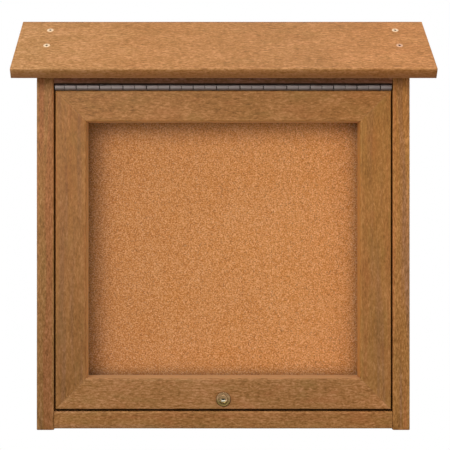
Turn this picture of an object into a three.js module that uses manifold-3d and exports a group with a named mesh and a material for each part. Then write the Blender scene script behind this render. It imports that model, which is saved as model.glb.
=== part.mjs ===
import * as THREE from 'three';
import { mergeVertices } from 'three/addons/utils/BufferGeometryUtils.js';
import Module from 'manifold-3d';

// A lockable notice board: a shallow case of plastic-lumber boards under a sloping roof board,
// with one framed door that lifts on a full-width hinge and a cam lock in the door's bottom rail.
// Millimetres and degrees. X runs to the right seen from the front, Y towards the wall, Z up.
// The origin is the centre of the back panel's rear face, which lies against the wall.

const wasm = await Module();
wasm.setup();

// Boards and the clearances between pieces
const boardThickness = 19.05;
const boardEdgeRadius = 2;
const seatGap = 0.1;
const cutOverrun = 6;

// Cabinet
const cabinetWidth = 406.4;
const displayDepth = 12.55;
const sideFoot = 1.3;
const backPanelThickness = 6.35;
const corkBackingThickness = 3.2;
const corkThickness = 6.35;
const doorStopWidth = 9.5;
const doorStopGap = 0.3;

// Roof board
const roofSideOverhang = 23.8;
const roofThickness = 12;
const roofSlopeAngle = 36;
const roofFrontOverhang = 31.75;
const roofHeaderGap = 2.6;
const roofFrontTopRadius = 2.4;
const roofFrontBottomRadius = 1.5;
const roofBackRadius = 0.6;

// Door frame and glazing
const doorHeight = 347.1;
const doorThickness = 25.4;
const doorRailWidth = 34;
const doorSideGap = 1.4;
const doorBottomGap = 2.1;
const glazingThickness = 3;
const glazingOverlap = 9.75;

// Hinge: the leaves are curled round the pin in knuckles that alternate between frame and door
const knuckleRadius = 3.05;
const leafThickness = 1.3;
const leafWidth = 20;
const hingeEndGap = 1.45;
const knucklePitch = 12.7;
const firstKnuckleLength = 10.1;
const knuckleCloseGap = 0.2;
const knuckleOpenGap = 0.7;
const pinClearance = 0.15;
const leafNotchClearance = 0.3;

// Lock
const lockDrop = 0.875;
const lockFlangeRadius = 7.95;
const lockFlangeThickness = 1.8;
const lockFlangeBevel = 0.6;
const lockBodyRadius = 6.35;
const lockBodyStandout = 1;
const plugShoulder = 0.45;
const plugFaceDepth = 2.6;
const plugRadius = 4.3;
const plugClearance = 0.15;
const keywayLength = 4;
const keywayHeight = 1.3;
const keywayDepth = 13;
const lockNutAcrossFlats = 17.5;
const lockNutThickness = 3;
const camReach = 22;
const camThickness = 1.6;
const camHubRadius = 7;
const camTipRadius = 4.75;
const mortiseWidth = 6;
const mortisePlay = 1.5;
const strikePlateThickness = 1.5;
const strikePlateWidth = 14;
const strikePlateMargin = 10;

// Screws
const screwClearance = 0.1;
const boardScrew = {
  length: 44,
  headRadius: 4.1,
  headHeight: 3.6,
  shankRadius: 2.2,
  tipLength: 5,
  driveRadius: 1.7,
  driveDepth: 2,
};
const roofScrew = { ...boardScrew, length: 24 };
const backPanelScrew = { ...boardScrew, length: 28 };
const leafScrew = {
  length: 14,
  headRadius: 3.1,
  headHeight: 2.3,
  shankRadius: 1.6,
  tipLength: 3,
  driveRadius: 1.2,
  driveDepth: 1.2,
};
const glazingScrew = {
  length: 14,
  panHead: true,
  headRadius: 3.6,
  headHeight: 2.1,
  shankRadius: 1.6,
  tipLength: 3,
  driveRadius: 1.2,
  driveDepth: 1.2,
};
const camScrew = {
  length: 10,
  panHead: true,
  headRadius: 4.8,
  headHeight: 2,
  shankRadius: 1.7,
  tipLength: 0.8,
  driveRadius: 1.5,
  driveDepth: 1.2,
};
const boardScrewSink = 0.3;
const roofScrewFrontInset = 10.9;
const roofScrewBackInset = 17.35;
const boardScrewInset = 12;
const backPanelScrewInset = 64;
const leafScrewInset = 54.15;
const glazingScrewEdge = 4.6;
const glazingScrewShare = 0.27;

// Faces of a round thing, and steps in half of each rounded board edge
const screwSides = 10;
const lockSides = 24;
const barrelSteps = 6;
const edgeSteps = 2;

// Places that follow from the sizes above, in the cabinet's frame: Z is zero at the foot
const innerHalfWidth = cabinetWidth / 2 - boardThickness;
const sideCentre = cabinetWidth / 2 - boardThickness / 2;
const roofHalfWidth = cabinetWidth / 2 + roofSideOverhang;
const shelfBack = -(backPanelThickness + seatGap);
const corkBackingFront = shelfBack - corkBackingThickness;
const corkBack = corkBackingFront - seatGap;
const corkFront = corkBack - corkThickness;
const frontY = corkFront - displayDepth - glazingThickness - seatGap - doorThickness;
const bottomBoardTop = sideFoot + boardThickness;
const doorBottom = bottomBoardTop + doorBottomGap;
const doorTop = doorBottom + doorHeight;
const hingeZ = doorTop + seatGap + knuckleRadius;
const headerBottom = hingeZ + knuckleRadius + seatGap;
const headerTop = headerBottom + boardThickness;
const slope = THREE.MathUtils.degToRad(roofSlopeAngle);
const roofUnderside = (y) => headerTop + roofHeaderGap + (y - frontY) * Math.tan(slope);
const roofTop = (y) => roofUnderside(y) + roofThickness / Math.cos(slope);
const slopedSeat = (y) => roofUnderside(y) - seatGap / Math.cos(slope);
const mountZ = (sideFoot + slopedSeat(0)) / 2;

// Places in the door's frame: its origin is on the hinge axis, in the plane of the door's face
const doorHalfWidth = innerHalfWidth - doorSideGap;
const doorTopLocal = doorTop - hingeZ;
const doorBottomLocal = doorBottom - hingeZ;
const windowHalfWidth = doorHalfWidth - doorRailWidth;
const windowTop = doorTopLocal - doorRailWidth;
const windowBottom = doorBottomLocal + doorRailWidth;
const glazingFront = doorThickness + seatGap;
const glazingBack = glazingFront + glazingThickness;
const lockHeight = (doorRailWidth - glazingOverlap) / 2 - lockDrop;
const lockZ = doorBottomLocal + lockHeight;
const nutBack = doorThickness + seatGap + lockNutThickness;
const lockBodyEnd = nutBack + lockBodyStandout;
const camFront = lockBodyEnd + seatGap;
const camBack = camFront + camThickness;
const plugFaceRadius = plugRadius + plugShoulder;
const plugTailWidth = Math.SQRT2 * (plugRadius - plugClearance);

// Places of the mortise under the cam, in the cabinet's frame
const camDrop = doorBottom + lockHeight - bottomBoardTop;
const mortiseHalfLength = Math.sqrt(camReach ** 2 - camDrop ** 2) + mortisePlay;
const mortiseY = frontY + (camFront + camBack) / 2;
const mortiseFloor = bottomBoardTop - (camReach - camDrop) - mortisePlay;
const strikePlateHalfLength = mortiseHalfLength + strikePlateMargin;

// Finishes
const lumber = { color: 0xa87544, roughness: 0.62, metalness: 0 };
const cork = { color: 0xc1814d, roughness: 0.95, metalness: 0 };
const fibreboard = { color: 0x8c6a48, roughness: 0.9, metalness: 0 };
const clear = { color: 0xf2f6f6, roughness: 0.08, metalness: 0, transparent: true, opacity: 0.25 };
const steel = { color: 0x9b9792, roughness: 0.38, metalness: 1 };
const coatedSteel = { color: 0xc9a37c, roughness: 0.5, metalness: 0.3 };
const nickel = { color: 0xa89a78, roughness: 0.3, metalness: 1 };

// A closed three.js geometry as a solid for cutting and joining
function toSolid(geometry) {
  const bare = geometry.clone();
  bare.deleteAttribute('normal');
  bare.deleteAttribute('uv');
  const merged = mergeVertices(bare);
  const triVerts = [];
  const corners = merged.index.array;
  for (let i = 0; i < corners.length; i += 3) {
    const [a, b, c] = corners.subarray(i, i + 3);
    if (a !== b && b !== c && c !== a) triVerts.push(a, b, c);
  }
  return new wasm.Manifold(new wasm.Mesh({
    numProp: 3,
    vertProperties: merged.attributes.position.array,
    triVerts: new Uint32Array(triVerts),
  }));
}

function toGeometry(solid) {
  const mesh = solid.getMesh();
  const geometry = new THREE.BufferGeometry();
  geometry.setAttribute('position', new THREE.BufferAttribute(mesh.vertProperties, 3));
  geometry.setIndex(new THREE.BufferAttribute(mesh.triVerts, 1));
  geometry.computeVertexNormals();
  return geometry;
}

// A box between two corners
function block(low, high) {
  const size = high.map((value, i) => value - low[i]);
  const middle = high.map((value, i) => (value + low[i]) / 2);
  return toSolid(new THREE.BoxGeometry(...size).translate(...middle));
}

// A closed outline, anticlockwise, whose corners are [across, up, radius]
function roundedOutline(corners) {
  const outline = new THREE.Shape();
  corners.forEach(([across, up, radius], i) => {
    const corner = new THREE.Vector2(across, up);
    const [before, after] = [corners.at(i - 1), corners[(i + 1) % corners.length]]
      .map(([u, v]) => new THREE.Vector2(u, v).sub(corner).normalize());
    const halfAngle = before.angleTo(after) / 2;
    const centre = before.clone().add(after).normalize();
    centre.multiplyScalar(radius / Math.sin(halfAngle)).add(corner);
    const start = before.multiplyScalar(radius / Math.tan(halfAngle)).add(corner).sub(centre);
    const end = after.multiplyScalar(radius / Math.tan(halfAngle)).add(corner).sub(centre);
    outline.absarc(centre.x, centre.y, radius, start.angle(), end.angle(), false);
  });
  outline.closePath();
  return outline;
}

// Which way an extruded outline's across, up and depth point
const alongX = [[0, 1, 0], [0, 0, 1], [1, 0, 0]];
const alongY = [[0, 0, 1], [1, 0, 0], [0, 1, 0]];
const alongZ = [[1, 0, 0], [0, 1, 0], [0, 0, 1]];

function extrude(outline, axes, from, to, curveSegments = edgeSteps) {
  const geometry = new THREE.ExtrudeGeometry(outline, {
    depth: to - from,
    bevelEnabled: false,
    curveSegments,
  });
  geometry.translate(0, 0, from);
  const turn = new THREE.Matrix4().makeBasis(...axes.map((axis) => new THREE.Vector3(...axis)));
  return toSolid(geometry.applyMatrix4(turn));
}

// A board with its four long edges rounded: two spans across it and one along it
function board(axes, [acrossLow, acrossHigh], [upLow, upHigh], [from, to]) {
  const outline = roundedOutline([
    [acrossLow, upLow, boardEdgeRadius],
    [acrossHigh, upLow, boardEdgeRadius],
    [acrossHigh, upHigh, boardEdgeRadius],
    [acrossLow, upHigh, boardEdgeRadius],
  ]);
  return extrude(outline, axes, from, to);
}

function straightOutline(points) {
  return new THREE.Shape(points.map(([u, v]) => new THREE.Vector2(u, v)));
}

// Screws: turned about Y, with the tip towards -Y and zero where the head meets the work
function screwGeometry(kind) {
  const { length, headRadius, headHeight, shankRadius, tipLength, driveRadius, driveDepth } = kind;
  const crown = kind.panHead ? headHeight : 0;
  const neck = kind.panHead ? 0 : -headHeight;
  const profile = [
    [0, -length],
    [shankRadius, tipLength - length],
    [shankRadius, neck],
    [headRadius, 0],
    ...(kind.panHead ? [[headRadius - driveDepth / 2, crown]] : []),
    [driveRadius, crown],
    [driveRadius, crown - driveDepth],
    [0, crown - driveDepth],
  ];
  return new THREE.LatheGeometry(profile.map(([r, y]) => new THREE.Vector2(r, y)), screwSides);
}

// The hole that a screw needs, with clearance all round and open above its head
function screwHole(kind) {
  const { length, headRadius, headHeight, shankRadius, tipLength } = kind;
  const shank = shankRadius + screwClearance;
  const mouth = kind.panHead ? shank : headRadius + screwClearance;
  const profile = [
    [0, -length - screwClearance],
    [shank, tipLength - length],
    [shank, -headHeight],
    [mouth, 0],
    [mouth, cutOverrun],
    [0, cutOverrun],
  ];
  return new THREE.LatheGeometry(profile.map(([r, y]) => new THREE.Vector2(r, y)), screwSides);
}

const tipward = new THREE.Vector3(0, -1, 0);

function screw(name, kind, place, pointing) {
  const turn = new THREE.Quaternion().setFromUnitVectors(tipward, new THREE.Vector3(...pointing));
  return { name, kind, place: new THREE.Vector3(...place), turn };
}

function drill(solid, screws) {
  for (const each of screws) {
    const hole = screwHole(each.kind).applyQuaternion(each.turn).translate(...each.place);
    solid = solid.subtract(toSolid(hole));
  }
  return solid;
}

function piece(group, name, geometry, finish) {
  const mesh = new THREE.Mesh(geometry, new THREE.MeshStandardMaterial(finish));
  mesh.name = name;
  group.add(mesh);
  return mesh;
}

function addScrews(group, screws, finish) {
  for (const each of screws) {
    const mesh = piece(group, each.name, screwGeometry(each.kind), finish);
    mesh.position.copy(each.place);
    mesh.quaternion.copy(each.turn);
  }
}

const left = -1;
const right = 1;
const sides = [left, right];
const sideName = (side) => (side === left ? 'left' : 'right');

// Screws of the cabinet, numbered from left to right and from front to back
const roofInward = [0, Math.sin(slope), -Math.cos(slope)];
const roofScrewRows = [frontY + roofScrewFrontInset, -roofScrewBackInset];
const roofScrews = sides.flatMap((side, i) => roofScrewRows.map((y, row) => {
  const sunkY = y + boardScrewSink * Math.sin(slope);
  const sunkZ = roofTop(y) - boardScrewSink * Math.cos(slope);
  return screw(`roof_screw_${2 * i + row + 1}`, roofScrew, [side * sideCentre, sunkY, sunkZ], roofInward);
}));

function crossScrews(label, z) {
  const rows = [frontY + boardScrewInset, shelfBack - boardScrewInset];
  return sides.flatMap((side, i) => rows.map((y, row) => {
    const x = side * (cabinetWidth / 2 - boardScrewSink);
    return screw(`${label}_screw_${2 * i + row + 1}`, boardScrew, [x, y, z], [-side, 0, 0]);
  }));
}
const headerScrews = crossScrews('header', headerBottom + boardThickness / 2);
const bottomScrews = crossScrews('bottom', sideFoot + boardThickness / 2);

const backPanelHeights = [sideFoot + boardThickness / 2, headerBottom + boardThickness / 2];
const backPanelScrews = backPanelHeights.flatMap((z, row) => sides.map((side, i) => {
  const x = side * (innerHalfWidth - backPanelScrewInset);
  return screw(`back_panel_screw_${2 * row + i + 1}`, backPanelScrew, [x, -boardScrewSink, z], [0, -1, 0]);
}));

const leafScrewPlaces = [leafScrewInset - innerHalfWidth, 0, innerHalfWidth - leafScrewInset];
const leafScrewY = (knuckleRadius + leafWidth) / 2;
const leafInside = knuckleRadius - leafThickness;
const frameLeafScrews = leafScrewPlaces.map((x, i) => (
  screw(`frame_leaf_screw_${i + 1}`, leafScrew, [x, leafScrewY, leafInside], [0, 0, 1])
));
const hingeOrigin = new THREE.Vector3(0, frontY, hingeZ);
const frameLeafScrewsInCabinet = frameLeafScrews.map((each) => (
  { ...each, place: each.place.clone().add(hingeOrigin) }
));
const strikeScrews = sides.map((side, i) => {
  const x = side * (strikePlateHalfLength - strikePlateMargin / 2);
  return screw(`strike_plate_screw_${i + 1}`, leafScrew, [x, mortiseY, bottomBoardTop], [0, 0, -1]);
});

// Cabinet boards
function cutToSlope(solid) {
  const ahead = frontY - cutOverrun;
  const above = straightOutline([
    [ahead, slopedSeat(ahead)],
    [cutOverrun, slopedSeat(cutOverrun)],
    [cutOverrun, roofTop(cutOverrun)],
    [ahead, roofTop(cutOverrun)],
  ]);
  return solid.subtract(extrude(above, alongX, -roofHalfWidth, roofHalfWidth));
}

function sideBoard(side) {
  const inner = side * innerHalfWidth;
  const outer = side * cabinetWidth / 2;
  const span = [Math.min(inner, outer), Math.max(inner, outer)];
  const full = board(alongZ, span, [frontY, 0], [0, roofTop(0)]);
  return drill(cutToSlope(full), [...roofScrews, ...headerScrews, ...bottomScrews]);
}

function headerBoard() {
  const half = innerHalfWidth - seatGap;
  const solid = board(alongX, [frontY, shelfBack], [headerBottom, headerTop], [-half, half]);
  return drill(solid, [...headerScrews, ...backPanelScrews, ...frameLeafScrewsInCabinet]);
}

function bottomBoard() {
  const half = innerHalfWidth - seatGap;
  const plate = strikePlateHalfLength + seatGap;
  const plateHalfWidth = strikePlateWidth / 2 + seatGap;
  const pocketFloor = bottomBoardTop - strikePlateThickness - seatGap;
  const mortise = block(
    [-mortiseHalfLength, mortiseY - mortiseWidth / 2, mortiseFloor],
    [mortiseHalfLength, mortiseY + mortiseWidth / 2, bottomBoardTop + cutOverrun],
  );
  const pocket = block(
    [-plate, mortiseY - plateHalfWidth, pocketFloor],
    [plate, mortiseY + plateHalfWidth, bottomBoardTop + cutOverrun],
  );
  const solid = board(alongX, [frontY, shelfBack], [sideFoot, bottomBoardTop], [-half, half])
    .subtract(mortise)
    .subtract(pocket);
  return drill(solid, [...bottomScrews, ...backPanelScrews, ...strikeScrews]);
}

function strikePlate() {
  const low = bottomBoardTop - strikePlateThickness;
  const solid = block(
    [-strikePlateHalfLength, mortiseY - strikePlateWidth / 2, low],
    [strikePlateHalfLength, mortiseY + strikePlateWidth / 2, bottomBoardTop],
  );
  const slot = block(
    [-mortiseHalfLength, mortiseY - mortiseWidth / 2, low - cutOverrun],
    [mortiseHalfLength, mortiseY + mortiseWidth / 2, bottomBoardTop + cutOverrun],
  );
  return drill(solid.subtract(slot), strikeScrews);
}

// An upright sheet in the case, given half its width and two spans
function caseSheet(halfWidth, [front, back], [low, high]) {
  return block([-halfWidth, front, low], [halfWidth, back, high]);
}

function doorStop(side) {
  const outer = side * (innerHalfWidth - seatGap);
  const inner = outer - side * doorStopWidth;
  return block(
    [Math.min(inner, outer), frontY + doorThickness + doorStopGap, bottomBoardTop + seatGap],
    [Math.max(inner, outer), corkBack, headerBottom - seatGap],
  );
}

function roofBoard() {
  const frontTop = frontY - roofFrontOverhang;
  const frontBottom = frontTop + roofThickness * Math.sin(slope);
  const outline = roundedOutline([
    [0, roofTop(0), roofBackRadius],
    [frontTop, roofTop(frontTop), roofFrontTopRadius],
    [frontBottom, roofUnderside(frontBottom), roofFrontBottomRadius],
    [0, roofUnderside(0), roofBackRadius],
  ]);
  return drill(extrude(outline, alongX, -roofHalfWidth, roofHalfWidth), roofScrews);
}

// Hinge, in the door's frame. Spans along X of the knuckles that belong to each leaf
const hingeHalfLength = innerHalfWidth - hingeEndGap;
const knuckleLength = knucklePitch - (knuckleCloseGap + knuckleOpenGap) / 2;
const firstDoorKnuckle = -hingeHalfLength + firstKnuckleLength + knuckleCloseGap;
const lastStart = hingeHalfLength - knuckleLength / 2;
const doorKnuckleRoom = lastStart - firstDoorKnuckle - knuckleLength - knuckleOpenGap;
const doorKnuckleCount = 1 + Math.floor(doorKnuckleRoom / (2 * knucklePitch));
const doorKnuckles = Array.from({ length: doorKnuckleCount }, (_, i) => {
  const start = firstDoorKnuckle + 2 * i * knucklePitch;
  return [start, start + knuckleLength];
});

// The spans that one leaf leaves free for the other leaf's knuckles
const frameNotches = doorKnuckles.map(([start, end]) => [start - knuckleCloseGap, end + knuckleOpenGap]);
const doorNotches = Array.from({ length: doorKnuckleCount + 1 }, (_, i) => {
  const start = i === 0 ? -hingeHalfLength - cutOverrun : doorKnuckles[i - 1][1];
  const end = i === doorKnuckleCount ? hingeHalfLength + cutOverrun : doorKnuckles[i][0];
  return [start, end];
});

// A leaf above the pin, or below it when up is -1, with the notches cut away
function hingeLeaf(up, notches) {
  const bore = knuckleRadius - leafThickness;
  const curlEnd = Math.asin(bore / knuckleRadius);
  const outline = new THREE.Shape();
  outline.moveTo(0, knuckleRadius);
  outline.lineTo(leafWidth, knuckleRadius);
  outline.lineTo(leafWidth, bore);
  outline.absarc(0, 0, knuckleRadius, curlEnd, Math.PI / 2, true);
  outline.holes.push(new THREE.Path().absarc(0, 0, bore, 0, 2 * Math.PI, false));
  let leaf = extrude(outline, alongX, -hingeHalfLength, hingeHalfLength, barrelSteps);
  if (up < 0) leaf = leaf.mirror([0, 0, 1]);
  const reach = knuckleRadius + cutOverrun;
  for (const [start, end] of notches) {
    leaf = leaf.subtract(block([start, -reach, -reach], [end, knuckleRadius + leafNotchClearance, reach]));
  }
  return leaf;
}

function hingePin() {
  const radius = knuckleRadius - leafThickness - pinClearance;
  const pin = new THREE.CylinderGeometry(radius, radius, 2 * hingeHalfLength, 2 * barrelSteps);
  return pin.rotateZ(Math.PI / 2);
}

// Door screws, in the door's frame
const doorLeafScrews = leafScrewPlaces.map((x, i) => (
  screw(`door_leaf_screw_${i + 1}`, leafScrew, [x, leafScrewY, -leafInside], [0, 0, -1])
));
const mitreScrewHeights = [doorTopLocal - doorRailWidth / 2, doorBottomLocal + doorRailWidth / 2];
const mitreScrews = mitreScrewHeights.flatMap((z, row) => sides.map((side, i) => {
  const x = side * (doorHalfWidth - boardScrewSink);
  return screw(`mitre_screw_${2 * row + i + 1}`, boardScrew, [x, doorThickness / 2, z], [-side, 0, 0]);
}));
const glazingHalfWidth = windowHalfWidth + glazingOverlap;
const glazingTop = windowTop + glazingOverlap;
const glazingBottom = windowBottom - glazingOverlap;
const glazingMiddle = (glazingTop + glazingBottom) / 2;
const glazingReach = (glazingTop - glazingBottom) * glazingScrewShare;
const glazingPlaces = [
  ...[glazingTop - glazingScrewEdge, glazingBottom + glazingScrewEdge].flatMap((z) => (
    sides.map((side) => [side * 2 * glazingHalfWidth * glazingScrewShare, z])
  )),
  ...sides.flatMap((side) => (
    [glazingMiddle + glazingReach, glazingMiddle - glazingReach]
      .map((z) => [side * (glazingHalfWidth - glazingScrewEdge), z])
  )),
];
const glazingScrews = glazingPlaces.map(([x, z], i) => (
  screw(`glazing_screw_${i + 1}`, glazingScrew, [x, glazingBack + seatGap, z], [0, -1, 0])
));

// Door frame: rounded boards whose ends are mitred to meet at the corners
const mitreInset = seatGap / Math.SQRT2;
function mitred(bar, outer, inner) {
  const outline = straightOutline([outer[0], outer[1], inner[1], inner[0]]);
  const depth = doorThickness + cutOverrun;
  return bar.intersect(extrude(outline, alongY, -cutOverrun, depth));
}

function doorRail(up) {
  const outerZ = up ? doorTopLocal : doorBottomLocal;
  const innerZ = up ? windowTop : windowBottom;
  const rise = [Math.min(outerZ, innerZ), Math.max(outerZ, innerZ)];
  const bar = board(alongX, [0, doorThickness], rise, [-doorHalfWidth, doorHalfWidth]);
  const outerX = doorHalfWidth - mitreInset;
  const innerX = windowHalfWidth - mitreInset;
  return mitred(bar, [[outerZ, -outerX], [outerZ, outerX]], [[innerZ, -innerX], [innerZ, innerX]]);
}

function doorStile(side) {
  const outerX = side * doorHalfWidth;
  const innerX = side * windowHalfWidth;
  const span = [Math.min(outerX, innerX), Math.max(outerX, innerX)];
  const bar = board(alongZ, span, [0, doorThickness], [doorBottomLocal, doorTopLocal]);
  const outer = [[doorBottomLocal + mitreInset, outerX], [doorTopLocal - mitreInset, outerX]];
  const inner = [[windowBottom + mitreInset, innerX], [windowTop - mitreInset, innerX]];
  return drill(mitred(bar, outer, inner), [...mitreScrews, ...glazingScrews]);
}

function doorTopRail() {
  return drill(doorRail(true), [...mitreScrews, ...glazingScrews, ...doorLeafScrews]);
}

function doorBottomRail() {
  const radius = lockBodyRadius + seatGap;
  const bore = new THREE.CylinderGeometry(radius, radius, doorThickness + 2 * cutOverrun, lockSides);
  bore.translate(0, doorThickness / 2, lockZ);
  return drill(doorRail(false).subtract(toSolid(bore)), [...mitreScrews, ...glazingScrews]);
}

function glazingPanel() {
  const sheet = block(
    [-glazingHalfWidth, glazingFront, glazingBottom],
    [glazingHalfWidth, glazingBack, glazingTop],
  );
  return drill(sheet, glazingScrews);
}

// Lock, in its own frame: Y runs into the door from the plane of its face
const lockFace = -seatGap - lockFlangeThickness;
function lockHousing() {
  const bore = plugRadius + plugClearance;
  const mouth = plugFaceRadius + plugClearance;
  const shoulder = lockFace + plugFaceDepth + plugClearance;
  const profile = [
    [lockFlangeRadius - lockFlangeBevel, lockFace],
    [lockFlangeRadius, lockFace + lockFlangeBevel],
    [lockFlangeRadius, -seatGap],
    [lockBodyRadius, -seatGap],
    [lockBodyRadius, lockBodyEnd],
    [bore, lockBodyEnd],
    [bore, shoulder],
    [mouth, shoulder],
    [mouth, lockFace],
    [lockFlangeRadius - lockFlangeBevel, lockFace],
  ];
  return new THREE.LatheGeometry(profile.map(([r, y]) => new THREE.Vector2(r, y)), lockSides);
}

function lockNut() {
  const corner = lockNutAcrossFlats / Math.sqrt(3);
  const hexagon = straightOutline(Array.from({ length: 6 }, (_, i) => (
    [corner * Math.sin(Math.PI * i / 3), corner * Math.cos(Math.PI * i / 3)]
  )));
  const bore = new THREE.Path().absarc(0, 0, lockBodyRadius + screwClearance, 0, 2 * Math.PI, false);
  hexagon.holes.push(bore);
  return extrude(hexagon, alongY, doorThickness + seatGap, nutBack, lockSides / 2);
}

const camScrews = [screw('cam_screw', camScrew, [0, camBack + seatGap, 0], [0, -1, 0])];

function lockPlug() {
  const faceBack = lockFace + plugFaceDepth;
  const profile = [
    [0, lockFace],
    [plugFaceRadius, lockFace],
    [plugFaceRadius, faceBack],
    [plugRadius, faceBack],
    [plugRadius, lockBodyEnd],
    [0, lockBodyEnd],
  ];
  const turned = new THREE.LatheGeometry(profile.map(([r, y]) => new THREE.Vector2(r, y)), lockSides);
  const tailHalf = plugTailWidth / 2;
  const tail = block([-tailHalf, lockBodyEnd - plugTailWidth, -tailHalf], [tailHalf, camBack, tailHalf]);
  const keyway = block(
    [-keywayLength / 2, lockFace - cutOverrun, -keywayHeight / 2],
    [keywayLength / 2, lockFace + keywayDepth, keywayHeight / 2],
  );
  return drill(toSolid(turned).add(tail).subtract(keyway), camScrews);
}

// The cam points to the right while the door is unlocked, and down when it is locked
function lockCam() {
  const outline = new THREE.Shape();
  const tipCentre = camReach - camTipRadius;
  const lean = Math.asin((camHubRadius - camTipRadius) / tipCentre);
  const upper = Math.PI / 2 - lean;
  outline.absarc(tipCentre, 0, camTipRadius, -upper, upper, false);
  outline.absarc(0, 0, camHubRadius, upper, 2 * Math.PI - upper, false);
  outline.closePath();
  const flat = plugTailWidth / 2 + screwClearance;
  const hole = new THREE.Path();
  hole.moveTo(-flat, -flat);
  hole.lineTo(flat, -flat);
  hole.lineTo(flat, flat);
  hole.lineTo(-flat, flat);
  hole.closePath();
  outline.holes.push(hole);
  const cam = new THREE.ExtrudeGeometry(outline, {
    depth: camThickness,
    bevelEnabled: false,
    curveSegments: barrelSteps,
  });
  return cam.rotateX(-Math.PI / 2).translate(0, camFront, 0);
}

// The assembly
const noticeBoard = new THREE.Group();
const cabinet = new THREE.Group();
cabinet.position.z = -mountZ;
noticeBoard.add(cabinet);

piece(cabinet, 'roof_board', toGeometry(roofBoard()), lumber);
for (const side of sides) {
  piece(cabinet, `${sideName(side)}_side_board`, toGeometry(sideBoard(side)), lumber);
  piece(cabinet, `${sideName(side)}_door_stop`, toGeometry(doorStop(side)), lumber);
}
piece(cabinet, 'header_board', toGeometry(headerBoard()), lumber);
piece(cabinet, 'bottom_board', toGeometry(bottomBoard()), lumber);
const sheetHalfWidth = innerHalfWidth - seatGap;
const backSheet = cutToSlope(caseSheet(sheetHalfWidth, [-backPanelThickness, 0], [sideFoot, roofTop(0)]));
piece(cabinet, 'back_panel', toGeometry(drill(backSheet, backPanelScrews)), lumber);
const corkRise = [bottomBoardTop + seatGap, headerBottom - seatGap];
const corkBacking = caseSheet(sheetHalfWidth, [corkBackingFront, shelfBack], corkRise);
piece(cabinet, 'cork_backing', toGeometry(corkBacking), fibreboard);
const corkHalfWidth = sheetHalfWidth - doorStopWidth - seatGap;
const corkSheet = caseSheet(corkHalfWidth, [corkFront, corkBack], corkRise);
piece(cabinet, 'cork_sheet', toGeometry(corkSheet), cork);
piece(cabinet, 'lock_strike_plate', toGeometry(strikePlate()), steel);
addScrews(cabinet, roofScrews, coatedSteel);
addScrews(cabinet, [...headerScrews, ...bottomScrews, ...backPanelScrews], steel);
addScrews(cabinet, strikeScrews, steel);

// The hinge's fixed half and its pin sit on the hinge axis, in the plane of the door's face
const fixedHinge = new THREE.Group();
fixedHinge.position.copy(hingeOrigin);
cabinet.add(fixedHinge);
const frameLeaf = drill(hingeLeaf(1, frameNotches), frameLeafScrews);
piece(fixedHinge, 'hinge_frame_leaf', toGeometry(frameLeaf), steel);
piece(fixedHinge, 'hinge_pin', hingePin(), steel);
addScrews(fixedHinge, frameLeafScrews, steel);

const door = new THREE.Group();
door.position.copy(hingeOrigin);
cabinet.add(door);
piece(door, 'door_top_rail', toGeometry(doorTopRail()), lumber);
piece(door, 'door_bottom_rail', toGeometry(doorBottomRail()), lumber);
piece(door, 'door_left_stile', toGeometry(doorStile(left)), lumber);
piece(door, 'door_right_stile', toGeometry(doorStile(right)), lumber);
piece(door, 'glazing_panel', toGeometry(glazingPanel()), clear);
const doorLeaf = drill(hingeLeaf(-1, doorNotches), doorLeafScrews);
piece(door, 'hinge_door_leaf', toGeometry(doorLeaf), steel);
addScrews(door, [...mitreScrews, ...glazingScrews, ...doorLeafScrews], steel);

const lockBody = new THREE.Group();
lockBody.position.z = lockZ;
door.add(lockBody);
piece(lockBody, 'lock_housing', lockHousing(), nickel);
piece(lockBody, 'lock_nut', toGeometry(lockNut()), steel);

// What the key turns
const lockCylinder = new THREE.Group();
lockBody.add(lockCylinder);
piece(lockCylinder, 'lock_plug', toGeometry(lockPlug()), nickel);
piece(lockCylinder, 'lock_cam', lockCam(), steel);
addScrews(lockCylinder, camScrews, steel);

export default noticeBoard;
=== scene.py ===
"""The lockable notice board dressed for its picture: lumber boards, hinge, screws, lock, cork and glazing."""

import math

import bpy
import numpy as np
from mathutils import Matrix, Vector, noise


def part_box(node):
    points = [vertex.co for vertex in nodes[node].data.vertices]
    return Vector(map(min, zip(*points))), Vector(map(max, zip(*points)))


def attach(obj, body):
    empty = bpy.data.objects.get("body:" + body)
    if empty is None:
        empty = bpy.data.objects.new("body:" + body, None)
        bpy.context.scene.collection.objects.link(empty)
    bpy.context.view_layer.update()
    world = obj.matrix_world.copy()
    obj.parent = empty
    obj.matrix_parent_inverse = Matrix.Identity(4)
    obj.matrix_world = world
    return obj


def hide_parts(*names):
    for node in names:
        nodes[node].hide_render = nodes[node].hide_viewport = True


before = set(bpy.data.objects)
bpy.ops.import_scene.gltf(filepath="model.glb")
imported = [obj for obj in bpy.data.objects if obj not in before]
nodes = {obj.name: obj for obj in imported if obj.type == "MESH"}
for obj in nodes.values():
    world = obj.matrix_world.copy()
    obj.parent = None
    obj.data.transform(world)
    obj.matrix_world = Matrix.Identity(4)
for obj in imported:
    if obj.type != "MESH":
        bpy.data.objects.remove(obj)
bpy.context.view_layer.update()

# Everything is in metres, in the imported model's frame: X right, Y into the wall, Z up
MM = 0.001
X, Y, Z = Vector((1, 0, 0)), Vector((0, 1, 0)), Vector((0, 0, 1))

# Camera, as worked out from the photograph
CAMERA_PLACE = (-0.02025, -1.27006, 0.03288)
SENSOR_WIDTH = 36
LENS_LENGTH = 89.23
LENS_SHIFT = (0.0452, -0.0612)

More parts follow.
